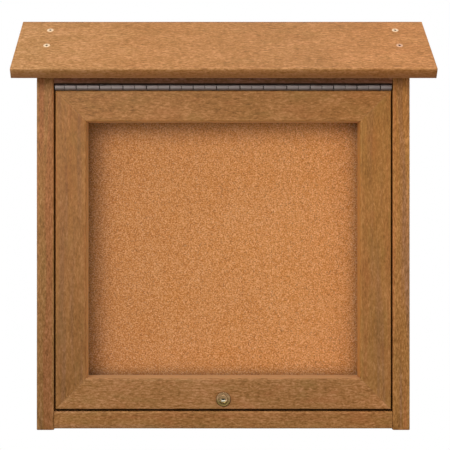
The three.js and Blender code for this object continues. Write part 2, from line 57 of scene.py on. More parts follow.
# Lumber
EDGE_RADIUS = 2.0 * MM
EDGE_STEPS = 6
END_BEVEL = 0.5 * MM
MITRE_BEVEL = 0.1 * MM
SIDE_SPACING = 1.9 * MM
STATION_SPACING = 4.2 * MM
ROOF_SLOPE = math.radians(36)
ROOF_THICKNESS = 12.0 * MM
ROOF_RADII = (0.3 * MM, 2.2 * MM, 0.9 * MM, 0.3 * MM)
STRIP_RADIUS = 0.8 * MM
PANEL_RADIUS = 0.5 * MM
# How far back the painted shade in the gaps round the door reaches, and how dark it is
GAP_SHADE_REACH = 17 * MM
GAP_SHADE_WEIGHT = 0.82
BLEACHED_LENGTH = 140 * MM
GRAIN_STRETCH = 0.12
MORTISE_WIDTH = 6.0 * MM
MORTISE_DEPTH = 10.15 * MM
MORTISE_HALF_LENGTH = 18.99 * MM
SEAT_GAP = 0.1 * MM

# Hinge
KNUCKLE_RADIUS = 3.05 * MM
KNUCKLE_ROUNDING = 0.22 * MM
KNUCKLE_STEPS = 22
KNUCKLE_CURL = math.radians(304)
LEAF_THICKNESS = 1.3 * MM
LEAF_WIDTH = 20.0 * MM
KNUCKLE_PITCH = 12.7 * MM
KNUCKLE_CLOSE_GAP = 0.45 * MM
KNUCKLE_OPEN_GAP = 0.95 * MM
FIRST_KNUCKLE = 10.1 * MM
LEAF_SCREW_STEP = 43.33 * MM
LEAF_SCREWS_EACH_SIDE = 4

# Cork
CORK_SPACING = 1.7 * MM
# Where the door's frame covers the cork: its lowest and highest X, then its lowest and highest Z
COVERED_FROM = (-0.1519, 0.1509, -0.1661, 0.1185)

# Lock
FLANGE_RADIUS = 7.95 * MM
FLANGE_THICKNESS = 1.8 * MM
LOCK_BODY_RADIUS = 6.35 * MM
LOCK_BORE_RADIUS = 6.45 * MM
PLUG_RADIUS = 4.75 * MM
PLUG_CORE_RADIUS = 4.3 * MM
PLUG_SHOULDER = 2.6 * MM
TAIL_LENGTH = 6 * MM
TAIL_HALF_WIDTH = 2.93 * MM


# Node trees

def both_ways(operation):
    """A Math node's operation as a Python operator and as its reflected form."""
    return (lambda value, other: value.maths(operation, value, other),
            lambda value, other: value.maths(operation, other, value))


class Value:
    """A number in a node tree. Sums written with it add Math nodes."""

    __add__, __radd__ = both_ways("ADD")
    __sub__, __rsub__ = both_ways("SUBTRACT")
    __mul__, __rmul__ = both_ways("MULTIPLY")
    __truediv__, __rtruediv__ = both_ways("DIVIDE")
    __lt__, __gt__ = both_ways("LESS_THAN")
    __pow__ = both_ways("POWER")[0]

    def __init__(self, tree, socket):
        self.tree, self.socket = tree, socket

    def maths(self, operation, *values):
        return self.tree.add("ShaderNodeMath", {"operation": operation}, dict(enumerate(values)))

    def clamped(self):
        kept = self + 0
        kept.socket.node.use_clamp = True
        return kept

    def size(self):
        """The number without its sign."""
        return self.maths("ABSOLUTE", self)


class Tree:
    """A node tree that add() fills."""

    def __init__(self, data):
        self.data = data

    def add(self, kind, settings=None, values=None, out=0):
        """Makes a node: its settings first, then what its sockets hold. Gives one of its outputs."""
        node = self.data.nodes.new(kind)
        for name, setting in (settings or {}).items():
            if name == "stops":
                while len(node.color_ramp.elements) < len(setting):
                    node.color_ramp.elements.new(1)
                for element, stop in zip(node.color_ramp.elements, setting):
                    element.position, element.color = stop
            elif name == "items":
                while len(node.index_switch_items) < setting:
                    node.index_switch_items.new()
            else:
                setattr(node, name, setting)
        for place, value in (values or {}).items():
            self.feed(node.inputs[place], value)
        return Value(self, node.outputs[out]) if node.outputs else None

    def feed(self, socket, value):
        """Links a value, or each of a list of them, to a socket, or sets the socket to a constant."""
        if isinstance(value, (Value, list)):
            for each in value if isinstance(value, list) else [value]:
                self.data.links.new(each.socket, socket)
        else:
            socket.default_value = value

    def vector(self, x, y, z):
        return self.add("ShaderNodeCombineXYZ", None, {0: x, 1: y, 2: z})

    def numbers(self, vector):
        """The three numbers of a vector."""
        return [self.add("ShaderNodeSeparateXYZ", None, {0: vector}, out=n) for n in range(3)]


class Finish(Tree):
    """A material, made of one glossy shader and the patterns that feed it."""

    def __init__(self, name, **constants):
        self.material = bpy.data.materials.new(name)
        self.material.use_nodes = True
        super().__init__(self.material.node_tree)
        self.shader = self.data.nodes["Principled BSDF"]
        self.wear(**constants)
        self.place = self.add("ShaderNodeTexCoord", out="Object")

    def scaled(self, scale, shift=(0, 0, 0)):
        """The place on the piece, stretched by one number or by one for each axis, and moved."""
        scale = scale if isinstance(scale, tuple) else (scale,) * 3
        return self.add("ShaderNodeVectorMath", {"operation": "MULTIPLY_ADD"},
                        {0: self.place, 1: scale, 2: shift})

    def pattern(self, scale, detail=3.0, roughness=0.6, distortion=0.0, shift=(0, 0, 0)):
        """Noise that goes about half a unit up and down from 0."""
        return self.add("ShaderNodeTexNoise", {"noise_dimensions": "3D"}, {
            "Vector": self.scaled(scale, shift), "Scale": 1.0, "Detail": detail,
            "Roughness": roughness, "Distortion": distortion}) - 0.5

    def blend(self, first, second, share, way="MIX"):
        """Goes from one colour to another."""
        return self.add("ShaderNodeMix", {"data_type": "RGBA", "blend_type": way},
                        {0: share, 6: first, 7: second}, out=2)

    def tinted(self, colour, tint, share=1.0):
        return self.blend(colour, tint, share, "MULTIPLY")

    def attribute(self, name):
        return self.add("ShaderNodeAttribute", {"attribute_name": name}, out="Fac")

    def wear(self, **patterns):
        """Feeds patterns and constants to the shader's sockets."""
        for place, value in patterns.items():
            self.feed(self.shader.inputs[place.replace("_", " ")], value)

    def relief(self, height, distance, strength):
        """Raises the surface by a pattern, up to a distance."""
        self.wear(Normal=self.add("ShaderNodeBump", None, {
            "Height": height, "Distance": distance, "Strength": strength}))


class PieceTree(Tree):
    """A Geometry Nodes tree with points, named sizes and a finish as its inputs."""

    def __init__(self, name, values):
        super().__init__(bpy.data.node_groups.new(name, "GeometryNodeTree"))
        self.values = values
        face = self.data.interface
        face.new_socket("Points", in_out="INPUT", socket_type="NodeSocketGeometry")
        for label, value in values.items():
            kind = "Int" if isinstance(value, int) else "Float" if isinstance(value, float) else "Material"
            face.new_socket(label, in_out="INPUT", socket_type=f"NodeSocket{kind}")
        face.new_socket("Piece", in_out="OUTPUT", socket_type="NodeSocketGeometry")
        given = self.data.nodes.new("NodeGroupInput")
        self.given = {socket.name: Value(self, socket) for socket in given.outputs if socket.name}

    def solid(self, operation, values):
        return self.add("GeometryNodeMeshBoolean", {"operation": operation, "solver": "MANIFOLD"}, values)

    def moved(self, shape, **change):
        return self.add("GeometryNodeTransform", None, {"Geometry": shape} | change)

    def swept(self, curve, profile, scale=1.0):
        return self.add("GeometryNodeCurveToMesh", None, {
            "Curve": curve, "Profile Curve": profile, "Scale": scale, "Fill Caps": True})

    def line(self, count, place):
        """A curve through a number of places, which are worked out from each point's index."""
        line = self.add("GeometryNodeMeshLine", {"mode": "OFFSET"}, {"Count": count, "Offset": (0, 0, 1)})
        line = self.add("GeometryNodeMeshToCurve", None, {"Mesh": line})
        return self.add("GeometryNodeSetPosition", None, {"Geometry": line, "Position": place})

    def on_points(self, shape, **placing):
        """One copy of a shape on each point, as real geometry."""
        copies = self.add("GeometryNodeInstanceOnPoints", None, {
            "Points": self.given["Points"], "Instance": shape} | placing)
        return self.add("GeometryNodeRealizeInstances", None, {0: copies})

    def make(self, piece, shape):
        """Gives the shape its finish and turns the piece, which holds the points, into it."""
        shape = self.add("GeometryNodeSetMaterial", None, {
            "Geometry": shape, "Material": self.given["Finish"]})
        self.add("NodeGroupOutput", None, {0: shape})
        modify(piece, "NODES", node_group=self.data)
        for item in self.data.interface.items_tree:
            if item.name in self.values:
                piece.modifiers[0][item.identifier] = self.values[item.name]
        apply_modifiers(piece)


def srgb(red, green, blue):
    """A screen colour from 0 to 255 as the shader's linear one."""
    def linear(value):
        value /= 255
        return value / 12.92 if value <= 0.04045 else ((value + 0.055) / 1.055) ** 2.4
    return (linear(red), linear(green), linear(blue), 1.0)


# Finishes

WHITE, BLACK = (1, 1, 1, 1), (0, 0, 0, 1)
LUMBER_DARK = srgb(128, 82, 30)
LUMBER_MIDDLE = srgb(162, 109, 54)
LUMBER_LIGHT = srgb(193, 136, 84)
LUMBER_OLIVE = srgb(145, 109, 50)
LUMBER_RUST = srgb(166, 99, 51)
# Pale lumber: for worn edges with a painted highlight, and for painted light on the window's reveals
LUMBER_WEAR_AND_LIGHT = srgb(196, 143, 86)
LUMBER_LIT_REVEAL = srgb(240, 190, 128)
LUMBER_LIT_LEDGE = srgb(208, 159, 104)
# Painted shade: for shaded lumber, and near black for the gaps round the door
LUMBER_SHADED = srgb(104, 56, 30)
LUMBER_GAP_SHADE = srgb(34, 19, 10)
PLUM_BAND = (0.68, 0.72, 1.4, 1)
RUST_BAND = (1.05, 0.81, 0.9, 1)
BLEACHING = (1.06, 1.18, 1.4, 1)
# Tints: painted shade low on upright boards, and painted light at the right end of level ones
LOW_DOWN_SHADE = (0.81, 0.85, 0.93, 1)
RIGHT_END_LIGHT = (1.13, 1.07, 1.02, 1)
# Painted light, brighter towards the right of the cork
CORK_LIGHT_TO_RIGHT = (1.3, 1.32, 1.38, 1)
CORK_SHADE = (0.87, 0.88, 0.88, 1)
# Painted highlight on steel
HIGHLIGHT_TINT = (1.42, 1.42, 1.42, 1)


def lumber_finish(name, along, shift, tone=(1, 1, 1), hues=0.4, bands=0.0, contrast=1.0,
                  sheltered=LUMBER_WEAR_AND_LIGHT):
    """Tan plastic lumber: a short mottled grain along the board, and slow changes of hue.

    Upright boards get painted shade towards the ground. Level ones get painted light, warmer, at their right
    end.
    """
    finish = Finish(name, IOR=1.46, Specular_IOR_Level=0.25)

    def grained(across, lengthwise, seed, *rest):
        scale = tuple(lengthwise if axis == along else across for axis in "XYZ")
        return finish.pattern(scale, *rest, shift=tuple(value + seed for value in shift))

    mottle = grained(587.5, 175, 0, 3.0, 0.6, 0.6)
    grain = grained(1125, 187.5, 5)
    flecks = grained(640, 400, 21, 1.0, 0.5)
    patches = grained(48, 20, 13, 3.0, 0.55)
    hue = grained(80, 30, 17, 4.0)
    level = mottle * (2.1 * contrast) + grain * (0.8 * contrast) + patches * 0.6 + flecks * (0.8 * contrast)
    shade = finish.add("ShaderNodeValToRGB", {"stops": [
        (0.05, LUMBER_DARK), (0.5, LUMBER_MIDDLE), (0.95, LUMBER_LIGHT)]}, {0: (0.5 + level).clamped()})
    shade = finish.blend(shade, LUMBER_OLIVE, ((hue - 0.03) * 6).clamped() * hues)
    shade = finish.blend(shade, LUMBER_RUST, ((-0.04 - hue) * 6).clamped() * hues)
    if bands:
        band = grained(105, 3.2, 31, 2.0, 0.5)
        shade = finish.tinted(shade, PLUM_BAND, ((band - 0.04) * 9).clamped() * bands)
        shade = finish.tinted(shade, RUST_BAND, ((-0.03 - band) * 9).clamped() * bands)
    shade = finish.tinted(shade, BLEACHING, finish.attribute("bleached"))
    x, _, z = finish.numbers(finish.place)
    # Painted shade lower down on upright boards, and painted light at the right end of level ones
    if along == "Z":
        shade = finish.tinted(shade, LOW_DOWN_SHADE, (0.4 - z * 3.8).clamped())
    else:
        shade = finish.tinted(shade, RIGHT_END_LIGHT, ((x - 0.09) * 11).clamped())
    # Painted shade where a board is marked shaded
    shade = finish.blend(shade, LUMBER_SHADED, finish.attribute("shaded") * (0.72 + mottle * 1.5))
    # Paler edges: wear, and a painted highlight where the rounded edges catch the light
    edge_wear_and_highlight = (finish.attribute("rim") * (0.5 + mottle * 2.2)).clamped()
    shade = finish.blend(shade, LUMBER_WEAR_AND_LIGHT, edge_wear_and_highlight * 0.45)
    # Painted light on the side that faces the window, the reveal
    shade = finish.blend(shade, sheltered, finish.attribute("sheltered") * 0.9)
    # Painted shade in the gaps round the door
    shade = finish.blend(shade, LUMBER_GAP_SHADE, finish.attribute("grime") * (0.92 + mottle * 0.3))
    finish.wear(Base_Color=finish.tinted(shade, (*tone, 1)), Roughness=0.52 + mottle * 0.3 + grain * 0.35)
    finish.relief(grain * 0.5 + mottle * 0.5, 0.3 * MM, 0.6)
    return finish.material


def cork_finish():
    """Pressed cork: fine tan granules, a darker one here and there, and small pits between them."""
    finish = Finish("cork_granules", IOR=1.3, Specular_IOR_Level=0.1)
    cell = {"Vector": finish.place, "Scale": 780, "Randomness": 1.0}
    granule = finish.add("ShaderNodeTexVoronoi", {"feature": "F1"}, cell, out="Color")
    tone, second = (finish.add("ShaderNodeSeparateColor", None, {0: granule}, out=n) for n in range(2))
    gap = finish.add("ShaderNodeTexVoronoi", {"feature": "DISTANCE_TO_EDGE"}, cell)
    fine = finish.pattern(1150, 2.0)
    clumps = finish.pattern(740, 0.0, shift=(2, 6, 1))
    broad = finish.pattern(24, 3.0, 0.55)
    level = (tone - 0.5) * 0.48 + fine * 0.9 + clumps * 1.25 + broad * 0.15
    shade = finish.add("ShaderNodeValToRGB", {"stops": [
        (0.0, srgb(178, 98, 10)), (0.5, srgb(213, 138, 66)), (1.0, srgb(239, 176, 116))]},
        {0: (0.5 + level).clamped()})
    shade = finish.blend(shade, srgb(130, 70, 14), ((second - 0.88) * 14).clamped() * 0.48)
    shade = finish.blend(shade, srgb(150, 86, 24), (1 - gap * 9).clamped() * 0.2)
    # Painted light, brighter to the right, and painted shade towards the frame, most of all low down and at
    # the right
    x, _, z = finish.numbers(finish.place)
    shade = finish.tinted(shade, CORK_LIGHT_TO_RIGHT, (0.52 + x * 3.2).clamped())
    shade = finish.tinted(shade, CORK_SHADE)
    left, right, low, high = COVERED_FROM
    for inward, reach, most in ((z - low, 15 * MM, 0.31), (right - x, 15 * MM, 0.36),
                                (x - left, 3 * MM, 0.3), (high - z, 3 * MM, 0.28)):
        near = (1 - inward * (1 / reach)).clamped()
        shade = finish.tinted(shade, BLACK, near * near * most)
    finish.wear(Base_Color=shade, Roughness=0.88 + fine * 0.2)
    finish.relief((gap * 6).clamped() + fine * 0.4, 0.2 * MM, 0.35)
    return finish.material


def fibreboard_finish():
    """Brown hardboard with short fibres."""
    finish = Finish("fibreboard", IOR=1.4)
    fibres = finish.pattern((500, 500, 160), 4.0, 0.65, 0.6)
    blotches = finish.pattern(30, 3.0, 0.5)
    level = (0.5 + fibres * 1.3 + blotches * 0.7).clamped()
    finish.wear(Base_Color=finish.blend(srgb(112, 80, 50), srgb(158, 122, 84), level),
                Roughness=0.8 + fibres * 0.25)
    finish.relief(fibres, 0.2 * MM, 0.6)
    return finish.material


def glazing_finish():
    """Clear acrylic sheet, with a faint haze of dust and hairline scratches."""
    finish = Finish("clear_acrylic", IOR=1.49, Base_Color=srgb(236, 240, 238))
    haze = finish.pattern(26, 4.0)
    hairs = finish.pattern((900, 900, 30), 2.0, 0.5, shift=(3, 1, 7))
    # The sheet is whiter at a slant: a painted reflection
    slant = finish.add("ShaderNodeLayerWeight", {}, {"Blend": 0.5}, out="Facing")
    finish.wear(Roughness=0.06 + haze * 0.08, Alpha=(0.02 + haze * 0.015 + slant ** 4 * 0.45).clamped())
    finish.relief(hairs, 0.01 * MM, 0.05)
    return finish.material


def steel_finish(name, dark, light, roughness, brushing=(160, 2600, 2600)):
    """Bare steel, brushed one way, with a little tarnish, a painted highlight in places and painted shade in
    recesses.
    """
    finish = Finish(name, Metallic=1.0)
    brushed = finish.pattern(brushing)
    tarnish = finish.pattern(120, 4.0, shift=(4, 4, 4))
    scuffs = finish.pattern(700, 2.0, 0.5)
    shade = finish.blend(srgb(*dark), srgb(*light), (0.5 + brushed * 0.9 + tarnish * 0.9).clamped())
    # Painted highlight where marked, and painted shade in recesses
    shade = finish.tinted(shade, HIGHLIGHT_TINT, finish.attribute("polish"))
    shade = finish.blend(shade, srgb(40, 36, 32), (finish.attribute("recess") * 2).clamped() * 0.8)
    finish.wear(Base_Color=shade, Roughness=(roughness + tarnish * 0.25 + brushed * 0.2).clamped())
    finish.relief(brushed * 0.6 + scuffs * 0.4, 0.05 * MM, 0.35)
    return finish.material


def coated_screw_finish():
    """Tan coating over steel, rubbed through to metal here and there, and rusty on one screw."""
    finish = Finish("tan_coating", IOR=1.5)
    mottle = finish.pattern(900)
    rubbed = ((finish.pattern(520, shift=(7, 2, 5)) - 0.06) * 9).clamped()
    shade = finish.blend(srgb(202, 164, 124), srgb(246, 220, 184), mottle + 0.5)
    shade = finish.blend(shade, srgb(190, 184, 174), rubbed * 0.6)
    shade = finish.blend(shade, srgb(196, 138, 104), finish.attribute("rusty") * (0.7 + mottle * 0.8))
    # Painted shade in the drive
    shade = finish.blend(shade, srgb(46, 26, 14), (finish.attribute("recess") * 3).clamped())
    finish.wear(Base_Color=shade, Metallic=rubbed * 0.7, Roughness=0.42 + mottle * 0.2)
    finish.relief(mottle, 0.06 * MM, 0.5)
    return finish.material


def lock_finish(name, keyway_in_it=False):
    """Warm nickel plate: a painted reflection, beige above and olive below; brown round the rim; painted
    shade in the keyway.
    """
    finish = Finish(name, Metallic=1.0)
    x, y, z = finish.numbers(finish.scaled(1 / MM))
    across, depth, up = x - LOCK_X / MM, y - LOCK_FACE_Y / MM, z - LOCK_Z / MM
    radius = (across * across + up * up) ** 0.5
    scratches = finish.pattern((700, 700, 1800), distortion=0.5)
    cast = finish.pattern(330, shift=(1, 5, 2))
    # Painted reflection: beige above and olive below
    shade = finish.blend(srgb(148, 125, 74), srgb(230, 186, 138), (0.5 + up * 0.16 + cast * 2).clamped())
    scuffed = finish.blend((0.6, 0.57, 0.5, 1), WHITE, (0.5 + scratches * 3).clamped())
    shade = finish.tinted(shade, scuffed, 0.8)
    rim = ((radius - FLANGE_RADIUS / MM + 0.8) * 1.7).clamped()
    shade = finish.blend(shade, srgb(104, 68, 30), rim * 0.85)
    # Three painted glints beside the keyway
    for side, rise, size in ((-2.7, 0.2, 0.8), (-4.6, -1.6, 0.8), (3.4, -0.9, 0.6)):
        away = ((across - side) * (across - side) + (up - rise) * (up - rise)) ** 0.5
        shade = finish.blend(shade, srgb(246, 222, 180), ((size - away) * 2.5).clamped() * 0.8)
    roughness = 0.36 + scratches * 0.25
    if keyway_in_it:
        # Painted shade, black, in the slot, and a painted highlight on the lip under it
        slot = ((depth - 0.36) * 12).clamped() * ((up + 0.85) * 8).clamped()
        inside = (((depth - 0.85) * 4).clamped() + slot).clamped() * ((14 - depth) * 2).clamped()
        shade = finish.blend(shade, srgb(8, 5, 3), inside * 0.97)
        lip = ((2.2 - across.size()) * 8).clamped() * ((0.85 - (up + 1.6).size()) * 8).clamped()
        lip = lip * (1 - inside)
        shade = finish.blend(shade, srgb(255, 246, 218), lip)
        roughness = roughness - lip * 0.14
        finish.wear(Metallic=1 - inside)
    finish.wear(Base_Color=shade, Roughness=roughness.clamped())
    finish.relief(scratches, 0.06 * MM, 0.5)
    return finish.material


def lock_axis(node):
    low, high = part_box(node)
    return (low.x + high.x) / 2, low.y, (low.z + high.z) / 2


LOCK_X, LOCK_FACE_Y, LOCK_Z = lock_axis("lock_plug")
# Each board's finish: its name, the way and the place of its grain, then tone, hues, bands, contrast
# and the colour of the painted light on its side that faces the window
board_finishes = {
    "roof": ("roof_lumber_grain", "X", (0.3, 0.7, 0.1), (1.01, 1.01, 1.07), 0.15, 0.0, 1.02),
    "left_side": ("left_side_grain", "Z", (3.3, 1.7, 4.1), (0.9, 0.91, 0.86), 0.2, 0.75, 0.9),
    "right_side": ("right_side_grain", "Z", (6.1, 2.4, 5.9), (1.2, 1.14, 0.94), 0.2, 0.75, 0.9),
    # The header's dark tone is painted shade, from the roof over it
    "header": ("header_grain", "X", (7.3, 3.1, 8.8), (0.75, 0.71, 1.08), 0.4, 0.5),
    "bottom": ("bottom_board_grain", "X", (2.2, 9.4, 7.7), (0.89, 0.9, 0.92), 0.4, 0.3),
    "top_rail": ("top_rail_grain", "X", (5.8, 6.2, 1.3), (1.02, 1, 1), 0.3, 0.0, 0.85, LUMBER_LIT_REVEAL),
    "bottom_rail": ("bottom_rail_grain", "X", (8.9, 0.6, 3.4), (0.96, 0.98, 1.14), 0.4, 0.0, 1.0,
                    LUMBER_LIT_LEDGE),
    "left_stile": ("left_stile_grain", "Z", (1.9, 8.1, 6.6), (0.96, 0.91, 0.83), 0.3, 0.35, 0.6,
                   LUMBER_LIT_REVEAL),
    "right_stile": ("right_stile_grain", "Z", (4.4, 5.3, 0.2), (1.12, 1.08, 0.9), 0.35, 0.35, 0.65),
    "panel": ("panel_grain", "Z", (9.7, 4.8, 2.9)),
}
finishes = {board: lumber_finish(*values) for board, values in board_finishes.items()} | {
    "cork": cork_finish(),
    "fibreboard": fibreboard_finish(),
    "glazing": glazing_finish(),
    "hinge": steel_finish("hinge_steel", (134, 124, 120), (186, 175, 170), 0.68),
    "pin": steel_finish("pin_steel", (38, 32, 30), (64, 56, 52), 0.6),
    "screws": steel_finish("screw_steel", (150, 147, 142), (212, 210, 205), 0.32, 900),
    "fittings": steel_finish("zinc_plate", (150, 148, 138), (206, 204, 196), 0.38, 500),
    "coated_screws": coated_screw_finish(),
    "lock": lock_finish("nickel_plate"),
    "lock_plug": lock_finish("nickel_plug", True),
}


# Meshes

def put(name, data, place=(0, 0, 0), turn=(0, 0, 0)):
    """Makes an object of a mesh, a lamp or a lens."""
    made = bpy.data.objects.new(name, data)
    made.location, made.rotation_euler = place, turn
    bpy.context.scene.collection.objects.link(made)
    return made


def new_piece(name, points, faces):
    mesh = bpy.data.meshes.new(name)
    mesh.from_pydata([tuple(point) for point in points], [], faces)
    mesh.validate()
    return put(name, mesh)


def modify(piece, kind, **settings):
    modifier = piece.modifiers.new(kind, kind)
    for name, setting in settings.items():
        setattr(modifier, name, setting)


def apply_modifiers(piece):
    """Turns what the modifiers make into the piece's own mesh."""
    graph = bpy.context.evaluated_depsgraph_get()
    mesh = bpy.data.meshes.new_from_object(
        piece.evaluated_get(graph), preserve_all_data_layers=True, depsgraph=graph)
    piece.modifiers.clear()
    piece.data = mesh


def combine(piece, operation, others):
    """Joins closed shapes to a piece, or takes them out of it."""
    for other in others:
        modify(piece, "BOOLEAN", operation=operation, solver="MANIFOLD", object=other)
    apply_modifiers(piece)
    for other in others:
        bpy.data.objects.remove(other)


def rounded(piece, degrees=38):
    """Smooth shading that keeps the sharp corners."""
    piece.data.shade_smooth()
    piece.data.set_sharp_from_angle(angle=math.radians(degrees))
    return piece


def finished(piece, finish, slot, body, *replaced):
    """Gives a piece its finish, its body and the solids it stands for."""
    piece.data.materials.clear()
    piece.data.materials.append(finishes[finish])
    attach(piece, body)
    if replaced:
        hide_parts(*replaced)
    return piece


def store(piece, name, values, kind="FLOAT", field="value"):
    """Keeps a value for each point of a piece."""
    piece.data.attributes.new(name, kind, "POINT").data.foreach_set(field, values)


def mark(piece, name, rule):
    """Keeps, for the finish, a value from 0 to 1 at each point."""
    store(piece, name, [min(1.0, max(0.0, rule(vertex.co))) for vertex in piece.data.vertices])


def in_mm(pairs):
    return [(first * MM, second * MM) for first, second in pairs]


def turned(name, profile, place, direction, sides=32):
    """A turned solid: radius and height pairs from one end of the axis to the other."""
    turn = Z.rotation_difference(Vector(direction)).to_matrix()
    points, rings = [], []
    for radius, height in profile:
        count = 1 if radius == 0 else sides
        rings.append(range(len(points), len(points) + count))
        for step in range(count):
            angle = 2 * math.pi * step / sides
            spot = Vector((radius * math.cos(angle), radius * math.sin(angle), height))
            points.append(turn @ spot + Vector(place))
    faces = []
    for low, high in zip(rings, rings[1:]):
        for step in range(sides):
            after = (step + 1) % sides
            ring = [low[step % len(low)], low[after % len(low)],
                    high[after % len(high)], high[step % len(high)]]
            face = list(dict.fromkeys(ring))
            if len(face) > 2:
                faces.append(face)
    return new_piece(name, points, faces)


def tube(name, rings):
    """A closed solid through rings of as many points each, anticlockwise as seen from its far end."""
    count, faces = len(rings[0]), []
    for first in range(0, count * (len(rings) - 1), count):
        for i in range(count):
            after = (i + 1) % count
            faces.append((first + i, first + after, first + count + after, first + count + i))
    faces.append(tuple(reversed(range(count))))
    faces.append(tuple(range(count * (len(rings) - 1), count * len(rings))))
    return new_piece(name, [point for ring in rings for point in ring], faces)


def block(name, low, high):
    points = [(x, y, z) for x in (low[0], high[0]) for y in (low[1], high[1]) for z in (low[2], high[2])]
    faces = [(0, 1, 3, 2), (4, 6, 7, 5), (0, 4, 5, 1), (2, 3, 7, 6), (0, 2, 6, 4), (1, 5, 7, 3)]
    return new_piece(name, points, faces)


def joined(name, pieces):
    """One mesh of several."""
    points, faces = [], []
    for piece in pieces:
        first = len(points)
        points += [vertex.co.copy() for vertex in piece.data.vertices]
        faces += [[first + index for index in face.vertices] for face in piece.data.polygons]
        bpy.data.objects.remove(piece)
    return new_piece(name, points, faces)


# Screws

class ScrewKind:
    """The sizes of one kind of screw, given in millimetres, and the forms of its head and its drive."""

    def __init__(self, length, head, head_height, shank, tip, drive, pan=False, square=False):
        self.length, self.head, self.head_height = length * MM, head * MM, head_height * MM
        self.shank, self.tip, self.drive = shank * MM, tip * MM, drive * MM
        self.pan, self.square = pan, square


BOARD_SCREW = ScrewKind(44, 4.1, 3.6, 2.2, 5, 2.1)
ROOF_SCREW = ScrewKind(24, 3.7, 3.6, 2.2, 5, 1.7, square=True)
PANEL_SCREW = ScrewKind(28, 4.1, 3.6, 2.2, 5, 2.1)
LEAF_SCREW = ScrewKind(14, 3.1, 2.3, 1.6, 3, 1.6)
GLAZING_SCREW = ScrewKind(14, 3.6, 2.1, 1.6, 3, 1.8, pan=True)
CAM_SCREW = ScrewKind(10, 4.8, 2.0, 1.7, 0.8, 2.3, pan=True)
# A head's outline, from its underside to its top's middle, in shares of its radius and its height
PAN_HEAD = ((1, 0.99), (1, 0.72), (0.9, 0.33), (0.66, 0.08), (0.2, 0))
FLAT_HEAD = ((0.97, 0.1), (1, 0.05), (0.985, 0.015), (0.93, 0), (0.2, 0))
# The drive's pits, each with its shares of the full width: a square, or two crossed slots
SQUARE_DRIVE = ((1, 1),)
CROSS_DRIVE = ((1, 0.26), (0.26, 1))
CORE_SHARE = 0.74
PITCH_SHARE = 0.95


def screw_seat(node, pointing):
    """Where the top of a packed screw's head is, on its axis."""
    pointing = Vector(pointing).normalized()
    sideways = pointing.orthogonal().normalized()
    third = pointing.cross(sideways)
    points = [vertex.co for vertex in nodes[node].data.vertices]
    top = min(point.dot(pointing) for point in points)

    def middle(axis):
        places = [point.dot(axis) for point in points]
        return (min(places) + max(places)) / 2
    return pointing * top + sideways * middle(sideways) + third * middle(third)


def screw_hole(kind, top, pointing):
    """The hole a screw needs, open above its head."""
    play, over = 0.12 * MM, 3 * MM
    neck = kind.shank + play
    if kind.pan:
        profile = [(0, -over), (neck, -over), (neck, kind.length), (0, kind.length + 0.4 * MM)]
    else:
        head = kind.head + play
        profile = [(0, -over), (head, -over), (head, 0.05 * MM), (neck, kind.head_height),
                   (neck, kind.length - kind.tip), (0, kind.length + play)]
    return turned("hole", profile, top, pointing, 20)


